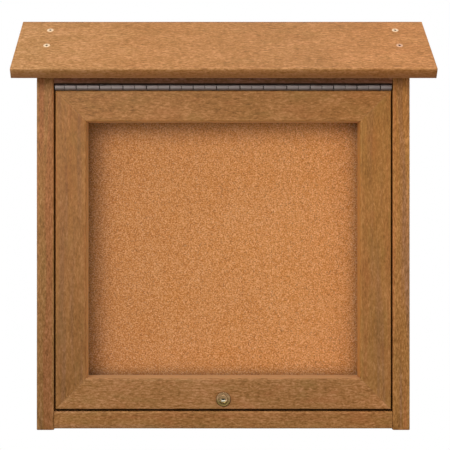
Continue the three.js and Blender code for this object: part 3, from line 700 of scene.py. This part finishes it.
def screws(name, kind, seats, finish, slot, body, seed, replaced):
    """Several screws as one piece. Seats are places and directions, each to the top of a head."""
    piece = new_piece(name, [place for place, _ in seats], [])
    store(piece, "pointing", [number for _, pointing in seats for number in -Vector(pointing).normalized()],
          "FLOAT_VECTOR", "vector")
    tree = PieceTree("screws", {
        "Length": kind.length, "Head Radius": kind.head, "Head Height": kind.head_height,
        "Shank Radius": kind.shank, "Tip Length": kind.tip, "Drive Radius": kind.drive,
        "Thread Pitch": kind.shank * PITCH_SHARE, "Seed": seed, "Finish": finishes[finish]})
    given = tree.given
    length, head, tall, tip = (given[size] for size in ("Length", "Head Radius", "Head Height", "Tip Length"))
    core = given["Shank Radius"] * CORE_SHARE

    # The turned body, from the tip (low) to the head: Z is zero where the head ends
    outline = [(0.0, 0 - length), (core, tip - length), (core, 0 - tall)]
    outline += [(head * out, tall * -down) for out, down in (PAN_HEAD if kind.pan else FLAT_HEAD)]
    index = tree.add("GeometryNodeInputIndex")
    radius, height = (tree.add("GeometryNodeIndexSwitch", {"data_type": "FLOAT", "items": len(outline)},
                               dict(enumerate([index, *column]))) for column in zip(*outline))
    # A hair's slope keeps two points at one height apart
    line = tree.line(len(outline), tree.vector(0, 0, height + index * (0.001 * MM)))
    ring = tree.add("GeometryNodeCurvePrimitiveCircle", None, {"Resolution": 20, "Radius": 1.0})
    shape = tree.add("GeometryNodeMergeByDistance", None, {
        "Geometry": tree.swept(line, ring, radius), "Distance": 0.002 * MM})

    # The thread, a ridge that winds up the shank
    threaded = length - tall - tip * 0.9
    coil = tree.add("GeometryNodeCurveSpiral", None, {
        "Resolution": 14, "Rotations": threaded / given["Thread Pitch"],
        "Start Radius": core, "End Radius": core, "Height": threaded})
    coil = tree.moved(coil, Translation=tree.vector(0, 0, tip * 0.8 - length))
    ridge = tree.add("GeometryNodeCurvePrimitiveCircle", None, {
        "Resolution": 4, "Radius": given["Shank Radius"] - core})
    shape = tree.solid("UNION", {1: [shape, tree.swept(coil, ridge)]})

    # The drive in the head narrows as it goes down
    drive = given["Drive Radius"]
    pit = tree.add("GeometryNodeMeshCone", None, {
        "Vertices": 4, "Radius Top": drive * 1.42, "Radius Bottom": drive * 0.8, "Depth": tall * 1.2})
    pit = tree.moved(pit, Rotation=(0, 0, math.pi / 4))
    for width, depth in SQUARE_DRIVE if kind.square else CROSS_DRIVE:
        shape = tree.solid("DIFFERENCE", {0: shape, 1: tree.moved(
            pit, Translation=tree.vector(0, 0, tall * -0.62), Scale=(width, depth, 1))})

    # How deep in the drive each point is, for the painted shade in it
    x, y, z = tree.numbers(tree.add("GeometryNodeInputPosition"))
    inside = ((x * x + y * y) ** 0.5 < drive * 1.5) * (z > tall * -1.4)
    shape = tree.add("GeometryNodeStoreNamedAttribute", {"data_type": "FLOAT", "domain": "POINT"}, {
        "Geometry": shape, "Name": "recess", "Value": inside * (z / (tall * -0.5)).clamped()})

    way = tree.add("GeometryNodeInputNamedAttribute", {"data_type": "FLOAT_VECTOR"}, {"Name": "pointing"})
    turn = tree.add("FunctionNodeAlignRotationToVector", {"axis": "Z"}, {"Vector": way})
    spin = tree.add("FunctionNodeRandomValue", {"data_type": "FLOAT"}, {
        2: 0.0, 3: 2 * math.pi, "Seed": given["Seed"]}, out=1)
    spun = tree.add("FunctionNodeAxisAngleToRotation", None, {"Axis": (0, 0, 1), "Angle": spin})
    turn = tree.add("FunctionNodeRotateRotation", {"rotation_space": "LOCAL"}, {0: turn, 1: spun})
    tree.make(piece, tree.on_points(shape, Rotation=turn))
    return finished(rounded(piece, 32), finish, slot, body, *replaced)


def numbered(name, first, last):
    return [f"{name}_screw_{number}" for number in range(first, last + 1)]


def leaf_seats(middle_screw, pointing):
    """The hinge leaf's screws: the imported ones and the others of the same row."""
    middle = screw_seat(middle_screw, pointing)
    steps = range(-LEAF_SCREWS_EACH_SIDE, LEAF_SCREWS_EACH_SIDE + 1)
    return [(middle + X * (step * LEAF_SCREW_STEP), pointing) for step in steps]


def holes(kind, group):
    return joined("holes", [screw_hole(kind, place, pointing) for place, pointing in seats[group]])


LEFTWARD, RIGHTWARD, UPWARD, DOWNWARD, FORWARD = (-1, 0, 0), (1, 0, 0), (0, 0, 1), (0, 0, -1), (0, -1, 0)
ROOF_INWARD = (0, math.sin(ROOF_SLOPE), -math.cos(ROOF_SLOPE))
# Each row of packed screws, and the way they point
SCREW_ROWS = {
    "roof_left": (numbered("roof", 1, 2), ROOF_INWARD),
    "roof_right": (numbered("roof", 3, 4), ROOF_INWARD),
    "left": (numbered("header", 1, 2) + numbered("bottom", 1, 2), RIGHTWARD),
    "right": (numbered("header", 3, 4) + numbered("bottom", 3, 4), LEFTWARD),
    "panel": (numbered("back_panel", 1, 4), FORWARD),
    "mitre_left": (["mitre_screw_1", "mitre_screw_3"], RIGHTWARD),
    "mitre_right": (["mitre_screw_2", "mitre_screw_4"], LEFTWARD),
    "glazing": (numbered("glazing", 1, 8), FORWARD),
    "strike": (numbered("strike_plate", 1, 2), DOWNWARD),
    "cam": (["cam_screw"], FORWARD),
}
seats = {row: [(screw_seat(name, pointing), pointing) for name in names]
         for row, (names, pointing) in SCREW_ROWS.items()}
seats["roof"] = seats["roof_left"] + seats["roof_right"]
seats["case"] = seats["left"] + seats["right"]
seats["mitre"] = seats["mitre_left"] + seats["mitre_right"]
seats["frame_leaf"] = leaf_seats("frame_leaf_screw_2", UPWARD)
seats["door_leaf"] = leaf_seats("door_leaf_screw_2", DOWNWARD)


# Lumber boards

# The order of a board's axes: across, then up, then along it
LEVEL, UPRIGHT = (1, 2, 0), (0, 1, 2)
ROOF_LOW, ROOF_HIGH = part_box("roof_board")
ROOF_RISE = ROOF_THICKNESS / math.cos(ROOF_SLOPE)


def section(corners, radii):
    """A rounded outline, anticlockwise: its points, each with its outward direction."""
    corners = [Vector(corner) for corner in corners]
    sides = [after - corner for corner, after in zip(corners, corners[1:] + corners[:1])]
    outward = [Vector((side.y, -side.x)).normalized() for side in sides]
    arcs = []
    for corner, radius, first, last in zip(corners, radii, outward[-1:] + outward[:-1], outward):
        centre = corner - (first + last) * (radius / (1 + first.dot(last)))
        sweep = math.acos(max(-1, min(1, first.dot(last))))
        normals = [Matrix.Rotation(sweep * step / EDGE_STEPS, 2) @ first for step in range(EDGE_STEPS + 1)]
        arcs.append([(centre + normal * radius, normal) for normal in normals])
    outline = []
    for side, normal, arc, following in zip(sides, outward, arcs, arcs[1:] + arcs[:1]):
        count = max(1, round(side.length / SIDE_SPACING))
        outline += arc
        outline += [(arc[-1][0].lerp(following[0][0], step / count), normal) for step in range(1, count)]
    return outline


def lumber_board(node, name, order, finish, slot, body, seed, cutters=(), depth=0.2 * MM,
                 radii=(EDGE_RADIUS,) * 4, bevel=END_BEVEL, corners=None, start=None, end=None):
    """A board in a packed one's place, swept between two cuts, with a worn, slightly uneven surface."""
    low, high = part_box(node)
    first, second, third = order
    across, up, along = ((X, Y, Z)[axis] for axis in order)
    corners = corners or [(low[first], low[second]), (high[first], low[second]),
                          (high[first], high[second]), (low[first], high[second])]
    start = start or (lambda u, v: low[third])
    end = end or (lambda u, v: high[third])
    outline = section(corners, radii)
    lows = [start(u, v) for (u, v), _ in outline]
    highs = [end(u, v) for (u, v), _ in outline]
    mean_length = float((np.array(highs) - np.array(lows)).mean())
    spans = max(8, round(mean_length / STATION_SPACING))
    # The unevenness is drawn out along the board
    stretch = Vector((1, 1, 1)) - along * (1 - GRAIN_STRETCH)
    rings = []
    for step in range(-1, spans + 2):
        ring = []
        for (spot, normal), lowest, highest in zip(outline, lows, highs):
            # The first and the last ring are the ends, drawn in by the bevel
            reach, slack = lowest if step < 0 else highest, bevel
            if 0 <= step <= spans:
                reach = lowest + bevel + (highest - lowest - 2 * bevel) * (step / spans)
            place = across * spot[0] + up * spot[1] + along * reach
            if 0 <= step <= spans:
                broad = noise.noise(place * stretch * 70 + Vector((seed, seed, seed)))
                fine = noise.noise(place * stretch * 330 + Vector((seed + 7, seed, seed)))
                slack = depth * (0.5 + 0.33 * broad + 0.17 * fine)
            ring.append(place - (across * normal[0] + up * normal[1]) * slack)
        rings.append(ring)
    piece = tube(name, rings)
    if cutters:
        combine(piece, "DIFFERENCE", cutters)
    rounded(piece)
    mark_rims(piece, order, corners, start, end)
    return finished(piece, finish, slot, body, node)


def mark_rims(piece, order, corners, start, end):
    """Keeps, for the finish, how near each point is to one of the board's edges."""
    places = np.empty(len(piece.data.vertices) * 3)
    piece.data.vertices.foreach_get("co", places)
    u, v, w = places.reshape(-1, 3).T[list(order)]
    edge = np.full(len(w), 1.0)
    for corner in corners:
        edge = np.minimum(edge, np.hypot(u - corner[0], v - corner[1]))
    ends = np.array([min(at - start(a, b), end(a, b) - at) for a, b, at in zip(u, v, w)])
    near = np.exp(-np.maximum(edge - EDGE_RADIUS * 0.4, 0) / (1.3 * MM))
    near = np.maximum(near, 0.7 * np.exp(-np.maximum(ends, 0) / (0.9 * MM)))
    store(piece, "rim", near.astype(np.float32))


def mark_side(piece, name, axis, place, reach=60 * MM, width=0.8 * MM, weight=1.0):
    """Marks one side of a board, from a little behind its front edge to as far back as told."""
    front = min(vertex.co.y for vertex in piece.data.vertices)

    def rule(spot):
        near = max(0.0, 1.0 - abs(spot[axis] - place) / width)
        behind = spot.y - front
        return weight * near * min(1.0, behind / (2 * width) - 0.4, (reach - behind) / (6 * MM))
    mark(piece, name, rule)


def roof_under(y):
    """Height of the roof board's underside."""
    return ROOF_HIGH.z - ROOF_RISE + y * math.tan(ROOF_SLOPE)


def sloped_top(_, y):
    """Where the side boards and the back panel stop under the roof."""
    return roof_under(y) - SEAT_GAP / math.cos(ROOF_SLOPE)


def roof_board():
    front = ROOF_LOW.y
    lower = front + ROOF_THICKNESS * math.sin(ROOF_SLOPE)
    top_back = ROOF_HIGH.z + ROOF_RADII[0] * 0.2
    slope = math.tan(ROOF_SLOPE)
    corners = [(0, top_back), (front, top_back + front * slope),
               (lower, top_back - ROOF_RISE + lower * slope), (0, top_back - ROOF_RISE)]
    piece = lumber_board("roof_board", "roof_lumber", LEVEL, "roof", "roof_lumber", "cabinet", 3.0,
                         [holes(ROOF_SCREW, "roof")], 0.22 * MM, ROOF_RADII, corners=corners)

    # Painted shade: darker down the front edge towards the underside, and a dark line along the top's back
    # edge
    def shaded(spot):
        under = (roof_under(spot.y) + ROOF_RISE - spot.z) / ROOF_RISE
        return max(under * 1.07, 1.0 + (spot.y + 0.9 * MM) / (1.2 * MM))
    mark(piece, "shaded", shaded)
    mark(piece, "bleached", lambda spot: 1.0 - (spot.x - ROOF_LOW.x) / BLEACHED_LENGTH)


def header_board():
    cutters = [holes(BOARD_SCREW, "left"), holes(BOARD_SCREW, "right"), holes(PANEL_SCREW, "panel"),
               holes(LEAF_SCREW, "frame_leaf")]
    piece = lumber_board("header_board", "header_lumber", LEVEL, "header", "case_lumber", "cabinet", 23.0,
                         cutters)
    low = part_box("header_board")[0]

    # Painted shade: near black along the lower front edge over the hinge, fading upwards and backwards
    def grime(spot):
        up = spot.z - low.z
        inward = 1.0 - (spot.y - low.y) / GAP_SHADE_REACH
        return inward * max(1.0 - (up - 1.2 * MM) / (0.8 * MM), 0.33 - up / (20 * MM))
    mark(piece, "grime", grime)


def bottom_board():
    plate_low, plate_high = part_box("lock_strike_plate")
    margin = Vector((SEAT_GAP, SEAT_GAP, SEAT_GAP))
    pocket = block("pocket", plate_low - margin, plate_high + margin + Z * 3 * MM)
    middle = (plate_low.y + plate_high.y) / 2
    slot = block("slot", (-MORTISE_HALF_LENGTH, middle - MORTISE_WIDTH / 2, plate_high.z - MORTISE_DEPTH),
                 (MORTISE_HALF_LENGTH, middle + MORTISE_WIDTH / 2, plate_high.z + 3 * MM))
    cutters = [holes(BOARD_SCREW, "left"), holes(BOARD_SCREW, "right"), holes(PANEL_SCREW, "panel"),
               pocket, slot, holes(LEAF_SCREW, "strike")]
    piece = lumber_board("bottom_board", "bottom_lumber", LEVEL, "bottom", "case_lumber", "cabinet", 29.0,
                         cutters)
    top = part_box("bottom_board")[1].z
    # Painted shade on the top face, along the gap under the door
    mark_side(piece, "grime", 2, top, GAP_SHADE_REACH, 1.9 * MM, GAP_SHADE_WEIGHT)


def side_board(side, inner, seed, weight):
    """A side of the case, with painted shade where it faces the door across the gap."""
    node = f"{side}_side_board"
    piece = lumber_board(node, f"{side}_side_lumber", UPRIGHT, f"{side}_side", "case_lumber", "cabinet",
                         seed, [holes(BOARD_SCREW, side), holes(ROOF_SCREW, f"roof_{side}")], end=sloped_top)
    mark_side(piece, "grime", 0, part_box(node)[inner].x, GAP_SHADE_REACH, 0.8 * MM, weight)


def door_bar(name, order, inner, seed, *cutters):
    """A rail or stile with mitred ends, longer at its outer edge, with painted light on its inner side, the
    window's reveal.
    """
    node = f"door_{name}"
    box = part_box(node)
    low, high = box
    face, along = (0, 2) if order == UPRIGHT else (2, 0)
    outer = box[1 - inner][face]

    def lost(u, v):
        return abs((u if order == UPRIGHT else v) - outer)
    piece = lumber_board(node, f"{name}_lumber", order, name, "door_lumber", "door", seed,
                         [holes(BOARD_SCREW, "mitre"), holes(GLAZING_SCREW, "glazing"), *cutters],
                         bevel=MITRE_BEVEL, start=lambda u, v: low[along] + lost(u, v),
                         end=lambda u, v: high[along] - lost(u, v))
    # Painted light on the reveal, the side that faces the window
    mark_side(piece, "sheltered", face, box[inner][face])
    return piece


def top_rail():
    piece = door_bar("top_rail", LEVEL, 0, 41.0, holes(LEAF_SCREW, "door_leaf"))
    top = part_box("door_top_rail")[1].z
    # Painted shade along the top edge, under the hinge's barrel
    mark(piece, "grime", lambda spot: 0.5 - (top - spot.z) / (3.6 * MM))


def bottom_rail():
    x, _, z = lock_axis("lock_housing")
    front, start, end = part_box("door_bottom_rail")[0].y, -4 * MM, 40 * MM
    bore = [(0, start), (LOCK_BORE_RADIUS, start), (LOCK_BORE_RADIUS, end), (0, end)]
    door_bar("bottom_rail", LEVEL, 1, 43.0, turned("bore", bore, (x, front, z), Y, 40))


roof_board()
header_board()
bottom_board()
lumber_board("back_panel", "back_panel_sheet", UPRIGHT, "panel", "panel_lumber", "cabinet", 31.0,
             [holes(PANEL_SCREW, "panel")], 0.08 * MM, (PANEL_RADIUS,) * 4, end=sloped_top)
# The inner edge is at the high end of the box for the left boards, and at its low end for the right ones
# The last value weights the painted shade in the gap beside the door
for each_side, inner_end, side_seed, stile_seed, side_gap_shade in (
        ("left", 1, 11.0, 47.0, GAP_SHADE_WEIGHT / 2), ("right", 0, 17.0, 53.0, GAP_SHADE_WEIGHT)):
    side_board(each_side, inner_end, side_seed, side_gap_shade)
    lumber_board(f"{each_side}_door_stop", f"{each_side}_stop_strip", UPRIGHT, f"{each_side}_side",
                 "case_lumber", "cabinet", 37.0, (), 0.1 * MM, (STRIP_RADIUS,) * 4)
    door_bar(f"{each_side}_stile", UPRIGHT, inner_end, stile_seed)
top_rail()
bottom_rail()

RUSTY_SEAT = max((place for place, _ in seats["roof"]), key=lambda place: place.x - place.y)
roof_screw_set = screws("roof_screw_set", ROOF_SCREW, seats["roof"], "coated_screws", "coated_screws",
                        "cabinet", 3, numbered("roof", 1, 4))
mark(roof_screw_set, "rusty", lambda spot: (spot - RUSTY_SEAT).length < 2 * ROOF_SCREW.head)
for row, kind, body, seed, replaced in (
        ("case", BOARD_SCREW, "cabinet", 5, SCREW_ROWS["left"][0] + SCREW_ROWS["right"][0]),
        ("panel", PANEL_SCREW, "cabinet", 7, numbered("back_panel", 1, 4)),
        ("strike", LEAF_SCREW, "cabinet", 9, numbered("strike_plate", 1, 2)),
        ("frame_leaf", LEAF_SCREW, "cabinet", 11, numbered("frame_leaf", 1, 3)),
        ("door_leaf", LEAF_SCREW, "door", 13, numbered("door_leaf", 1, 3)),
        ("mitre", BOARD_SCREW, "door", 15, numbered("mitre", 1, 4)),
        ("glazing", GLAZING_SCREW, "door", 17, numbered("glazing", 1, 8)),
        ("cam", CAM_SCREW, "lock", 19, ["cam_screw"])):
    screws(f"{row}_screw_set", kind, seats[row], "screws", "screws", body, seed, replaced)


# Hinge

HINGE_LOW, HINGE_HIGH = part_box("hinge_pin")
HINGE_HALF = (HINGE_HIGH.x - HINGE_LOW.x) / 2
HINGE_Y = (HINGE_LOW.y + HINGE_HIGH.y) / 2
HINGE_Z = (HINGE_LOW.z + HINGE_HIGH.z) / 2
KNUCKLE_LENGTH = KNUCKLE_PITCH - (KNUCKLE_CLOSE_GAP + KNUCKLE_OPEN_GAP) / 2


def leaf_shape(tree):
    """Rolls a knuckle round the pin at each point and joins them to the leaf's strip."""
    given = tree.given
    radius, thick, wide = given["Knuckle Radius"], given["Leaf Thickness"], given["Leaf Width"]
    middle = radius - thick / 2
    # The strip starts just past the barrel, and the flat end of each knuckle reaches into it
    start, flat_end = radius * 1.11, radius * 1.6
    index = tree.add("GeometryNodeInputIndex")
    angle = math.pi / 2 + (index - 1) * (KNUCKLE_CURL / (KNUCKLE_STEPS - 2))
    # The first point is on the flat strip, and the others are on the curl
    flat = index < 0.5
    y = angle.maths("COSINE", angle) * middle * (1 - flat) + flat_end * flat
    z = angle.maths("SINE", angle) * middle * (1 - flat) + middle * flat
    bar = tree.add("GeometryNodeCurvePrimitiveQuadrilateral", {"mode": "RECTANGLE"}, {
        "Width": KNUCKLE_PITCH, "Height": thick})
    bar = tree.add("GeometryNodeFilletCurve", {"mode": "POLY"}, {
        "Curve": bar, "Count": 3, "Radius": given["Rounding"]})
    knuckle = tree.swept(tree.line(KNUCKLE_STEPS, tree.vector(0, y, z)), bar)
    length = tree.add("GeometryNodeInputNamedAttribute", {"data_type": "FLOAT"}, {"Name": "length"})
    knuckles = tree.on_points(knuckle, Scale=tree.vector(length / KNUCKLE_PITCH, 1.0, 1.0))
    strip = tree.add("GeometryNodeMeshCube", None, {
        "Size": tree.vector(given["Half Length"] * 2, wide - start, thick)})
    strip = tree.moved(strip, Translation=tree.vector(0, (wide + start) / 2, middle))
    return tree.solid("UNION", {1: [strip, knuckles]})


def knuckle_spans():
    """Where the door's knuckles and the frame's knuckles are along the pin."""
    door, fixed = [], []
    start = -HINGE_HALF
    at = -HINGE_HALF + FIRST_KNUCKLE + KNUCKLE_CLOSE_GAP
    while at + KNUCKLE_LENGTH + KNUCKLE_OPEN_GAP < HINGE_HALF - KNUCKLE_LENGTH / 2:
        fixed.append((start, at - KNUCKLE_CLOSE_GAP))
        door.append((at, at + KNUCKLE_LENGTH))
        start = at + KNUCKLE_LENGTH + KNUCKLE_OPEN_GAP
        at += 2 * KNUCKLE_PITCH
    fixed.append((start, HINGE_HALF))
    return door, fixed


def on_barrel(share):
    """A share by the millimetres over the pin, which ends where the leaf's flat strip begins."""
    edge = HINGE_Y + KNUCKLE_RADIUS
    return lambda spot: min(share((spot.z - HINGE_Z) / MM), (edge - spot.y) / KNUCKLE_RADIUS)


def hinge_leaf(name, spans, body, upside_down=False):
    """One leaf: made flat on the axis, then put in place, upside down for the door's."""
    piece = new_piece(name, [((low + high) / 2, 0, 0) for low, high in spans], [])
    store(piece, "length", [high - low for low, high in spans])
    tree = PieceTree("hinge_leaf", {
        "Knuckle Radius": KNUCKLE_RADIUS, "Leaf Thickness": LEAF_THICKNESS, "Leaf Width": LEAF_WIDTH,
        "Half Length": HINGE_HALF, "Rounding": KNUCKLE_ROUNDING, "Finish": finishes["hinge"]})
    tree.make(piece, leaf_shape(tree))
    if upside_down:
        piece.data.transform(Matrix.Scale(-1, 4, Z))
        piece.data.flip_normals()
    piece.data.transform(Matrix.Translation((0, HINGE_Y, HINGE_Z)))
    combine(piece, "DIFFERENCE", [holes(LEAF_SCREW, name)])
    rounded(piece, 32)
    # Painted shade above and below the barrel, and a painted highlight along its upper side
    mark(piece, "recess", on_barrel(lambda up: max((-1.9 - up) / 5, (up - 2.1) / 1.2)))
    mark(piece, "polish", on_barrel(lambda up: (up + 0.2) / 1.1))
    finished(piece, "hinge", "hinge", body, f"hinge_{name}")


def hinge_pin():
    """The pin, with a rounded nose at each end."""
    radius, length, nose = (HINGE_HIGH.z - HINGE_LOW.z) / 2, 2 * HINGE_HALF, 0.5 * MM
    end = [(0, 0), (radius - nose, 0), (radius - nose * 0.3, nose * 0.3), (radius, nose)]
    profile = end + [(out, length - along) for out, along in reversed(end)]
    piece = turned("hinge_wire", profile, (-HINGE_HALF, HINGE_Y, HINGE_Z), X, 20)
    finished(rounded(piece), "pin", "hinge", "cabinet", "hinge_pin")


door_spans, frame_spans = knuckle_spans()
hinge_leaf("frame_leaf", frame_spans, "cabinet")
hinge_leaf("door_leaf", door_spans, "door", upside_down=True)
hinge_pin()


# Lock

def lock_turned(name, profile):
    """A turned solid on the lock's axis."""
    return turned(name, profile, (LOCK_X, LOCK_FACE_Y, LOCK_Z), Y, 48)


def lock_housing():
    """The threaded body, with a domed flange that has a beaded rim."""
    low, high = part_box("lock_housing")
    deep = high.y - low.y
    body, pitch, ridge = LOCK_BODY_RADIUS, 1.0 * MM, FLANGE_THICKNESS + 1.2 * MM
    profile = in_mm([(4.93, 2.75), (4.93, 0.35), (5.15, 0.12), (5.5, 0.05), (6.55, 0.16), (6.75, 0.08),
                     (7.1, 0), (7.5, 0.1), (7.8, 0.4)])
    profile += [(FLANGE_RADIUS, 0.85 * MM), (FLANGE_RADIUS, FLANGE_THICKNESS), (body, FLANGE_THICKNESS)]
    while ridge + pitch < deep - 0.4 * MM:
        profile += [(body, ridge), (body - 0.4 * MM, ridge + pitch * 0.5)]
        ridge += pitch
    profile += [(body, ridge), (body - 0.3 * MM, deep), (4.45 * MM, deep)]
    profile += in_mm([(4.45, 2.75), (4.93, 2.75)])
    finished(rounded(lock_turned("lock_barrel", profile), 30), "lock", "lock", "door", "lock_housing")


def keyway():
    """The key's slot, with a sloping lip under its mouth that catches the light from above."""
    half_length, up = 2.1 * MM, 0.8 * MM
    rings = []
    for depth, down in in_mm([(-1, 3.3), (0, 3.3), (0.75, 0.8), (13, 0.8)]):
        rings.append([(LOCK_X + x, LOCK_FACE_Y + depth, LOCK_Z + z) for x, z in (
            (-half_length, -down), (-half_length, up), (half_length, up), (half_length, -down))])
    return tube("keyway", rings)


def lock_plug():
    """The plug: a dished face, a step behind it and the square tail that carries the cam."""
    low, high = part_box("lock_plug")
    behind = high.y - low.y - 1.7 * MM
    profile = in_mm([(0, 0.3), (3.2, 0.26), (3.5, 0.1), (3.75, 0), (4.45, 0.02)])
    profile += [(PLUG_RADIUS, 0.3 * MM), (PLUG_RADIUS, PLUG_SHOULDER), (PLUG_CORE_RADIUS, PLUG_SHOULDER),
                (PLUG_CORE_RADIUS, behind), (0, behind)]
    piece = lock_turned("lock_core", profile)
    half = TAIL_HALF_WIDTH
    tail = block("tail", (LOCK_X - half, high.y - TAIL_LENGTH, LOCK_Z - half),
                 (LOCK_X + half, high.y, LOCK_Z + half))
    combine(piece, "UNION", [tail])
    combine(piece, "DIFFERENCE", [keyway(), holes(CAM_SCREW, "cam")])
    finished(rounded(piece, 18), "lock_plug", "lock", "lock", "lock_plug")


def eased_copy(node, name, body, width):
    """A packed fitting with its doubles merged and its sharp edges eased."""
    piece = put(name, nodes[node].data.copy())
    modify(piece, "WELD", merge_threshold=0.001 * MM)
    modify(piece, "DECIMATE", decimate_type="DISSOLVE", angle_limit=math.radians(2))
    modify(piece, "BEVEL", width=width, segments=2, limit_method="ANGLE", angle_limit=math.radians(50))
    apply_modifiers(piece)
    finished(rounded(piece, 32), "fittings", "lock_fittings", body, node)


lock_housing()
lock_plug()
eased_copy("lock_nut", "lock_ring_nut", "door", 0.35 * MM)
eased_copy("lock_cam", "lock_cam_blade", "lock", 0.25 * MM)
eased_copy("lock_strike_plate", "strike_plate", "cabinet", 0.2 * MM)


# Cork and glazing

def cork_sheet():
    """The cork, with the low relief of its pressed granules on the face that shows."""
    low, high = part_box("cork_sheet")
    columns, rows = round((high.x - low.x) / CORK_SPACING), round((high.z - low.z) / CORK_SPACING)
    points = []
    for row in range(rows + 1):
        for column in range(columns + 1):
            x = low.x + (high.x - low.x) * column / columns
            z = low.z + (high.z - low.z) * row / rows
            dip = 0.0
            if 0 < row < rows and 0 < column < columns:
                dip = 0.07 * MM * (0.5 + 0.5 * noise.noise(Vector((x, 0, z)) * 380))
                dip += 0.08 * MM * (0.5 + 0.5 * noise.noise(Vector((x, 4, z)) * 60))
            points.append((x, low.y + dip, z))
    wide = columns + 1
    faces = [(row * wide + column, row * wide + column + 1, (row + 1) * wide + column + 1,
              (row + 1) * wide + column) for row in range(rows) for column in range(columns)]
    # The edges and the flat back
    around = list(range(wide))
    around += [row * wide + columns for row in range(1, rows + 1)]
    around += [rows * wide + column for column in range(columns - 1, -1, -1)]
    around += [row * wide for row in range(rows - 1, 0, -1)]
    first, count = len(points), len(around)
    points += [(points[index][0], high.y, points[index][2]) for index in around]
    for i in range(count):
        after = (i + 1) % count
        faces.append((around[after], around[i], first + i, first + after))
    faces.append(tuple(first + i for i in range(count - 1, -1, -1)))
    piece = new_piece("cork_layer", points, faces)
    finished(rounded(piece, 50), "cork", "cork", "cabinet", "cork_sheet")


cork_sheet()
for node, finish in (("cork_backing", "fibreboard"), ("glazing_panel", "glazing")):
    nodes[node].data.materials.clear()
    nodes[node].data.materials.append(finishes[finish])


# Floor, light and camera

def empty_tree(owner):
    """The tree of a material or a world, emptied, and a value in it.

    The value is 1 where the camera looks straight or through glass at the owner, and otherwise 0.
    """
    owner.use_nodes = True
    tree = Tree(owner.node_tree)
    tree.data.nodes.clear()
    rays = [tree.add("ShaderNodeLightPath", out=name) for name in ("Is Camera Ray", "Is Transmission Ray")]
    return tree, (rays[0] + rays[1]).clamped()


def plain_floor(half, height):
    """A pale floor well below the board, which hangs on a wall in use. It reads white to the camera."""
    floor = new_piece("floor", [(-half, -half, height), (half, -half, height),
                                (half, half, height), (-half, half, height)], [(0, 1, 2, 3)])
    material = bpy.data.materials.new("pale_floor")
    tree, seen = empty_tree(material)
    matt = tree.add("ShaderNodeBsdfDiffuse", None, {"Color": (0.3, 0.3, 0.29, 1)})
    glow = tree.add("ShaderNodeEmission", None, {"Color": WHITE, "Strength": seen * 0.97})
    both = tree.add("ShaderNodeAddShader", None, {0: matt, 1: glow})
    tree.add("ShaderNodeOutputMaterial", None, {"Surface": both})
    floor.data.materials.append(material)


def studio_world(level):
    """White where it is looked at, and plain soft light all round the board."""
    world = bpy.context.scene.world = bpy.data.worlds.new("studio")
    tree, seen = empty_tree(world)
    sky = tree.add("ShaderNodeBackground", None, {"Color": WHITE, "Strength": level + seen * (1 - level)})
    tree.add("ShaderNodeOutputWorld", None, {"Surface": sky})


def softbox(name, place, aim, width, height, power):
    """A large soft lamp."""
    lamp = bpy.data.lights.new(f"{name}_softbox", "AREA")
    lamp.shape, lamp.size, lamp.size_y, lamp.energy = "RECTANGLE", width, height, power
    way = Vector(aim) - Vector(place)
    put(f"{name}_softbox", lamp, place, way.to_track_quat("-Z", "Y").to_euler())


def camera():
    """A level camera a little left of the middle, framed as the photograph is."""
    lens = bpy.data.cameras.new("camera")
    lens.sensor_width, lens.lens, lens.clip_start = SENSOR_WIDTH, LENS_LENGTH, 0.05
    lens.shift_x, lens.shift_y = LENS_SHIFT
    bpy.context.scene.camera = put("camera", lens, CAMERA_PLACE, (math.pi / 2, 0, 0))


plain_floor(half=3.5, height=-1.3)
studio_world(level=0.45)
# Each lamp's place and what it is aimed at, then its width, its height and its power in watts
softbox("overhead", (0.1, -0.3, 1.5), (0, -0.04, 0), 1.3, 1.0, 12.8)
softbox("front", (-0.45, -1.15, 0.5), (0, -0.05, 0.05), 0.7, 0.5, 6.7)
softbox("left", (-0.9, -1.45, 0.14), (0, -0.05, 0.08), 0.8, 0.5, 3.7)
softbox("right", (0.8, -1.45, -0.1), (0, -0.05, 0), 0.8, 0.5, 2.2)
softbox("left_rear", (-1.3, 0.9, 0.3), (0, 0, 0), 1.0, 0.8, 14)
softbox("right_rear", (1.3, 0.9, 0.3), (0, 0, 0), 1.0, 0.8, 14)
camera()
bpy.context.scene.view_settings.view_transform = "Standard"
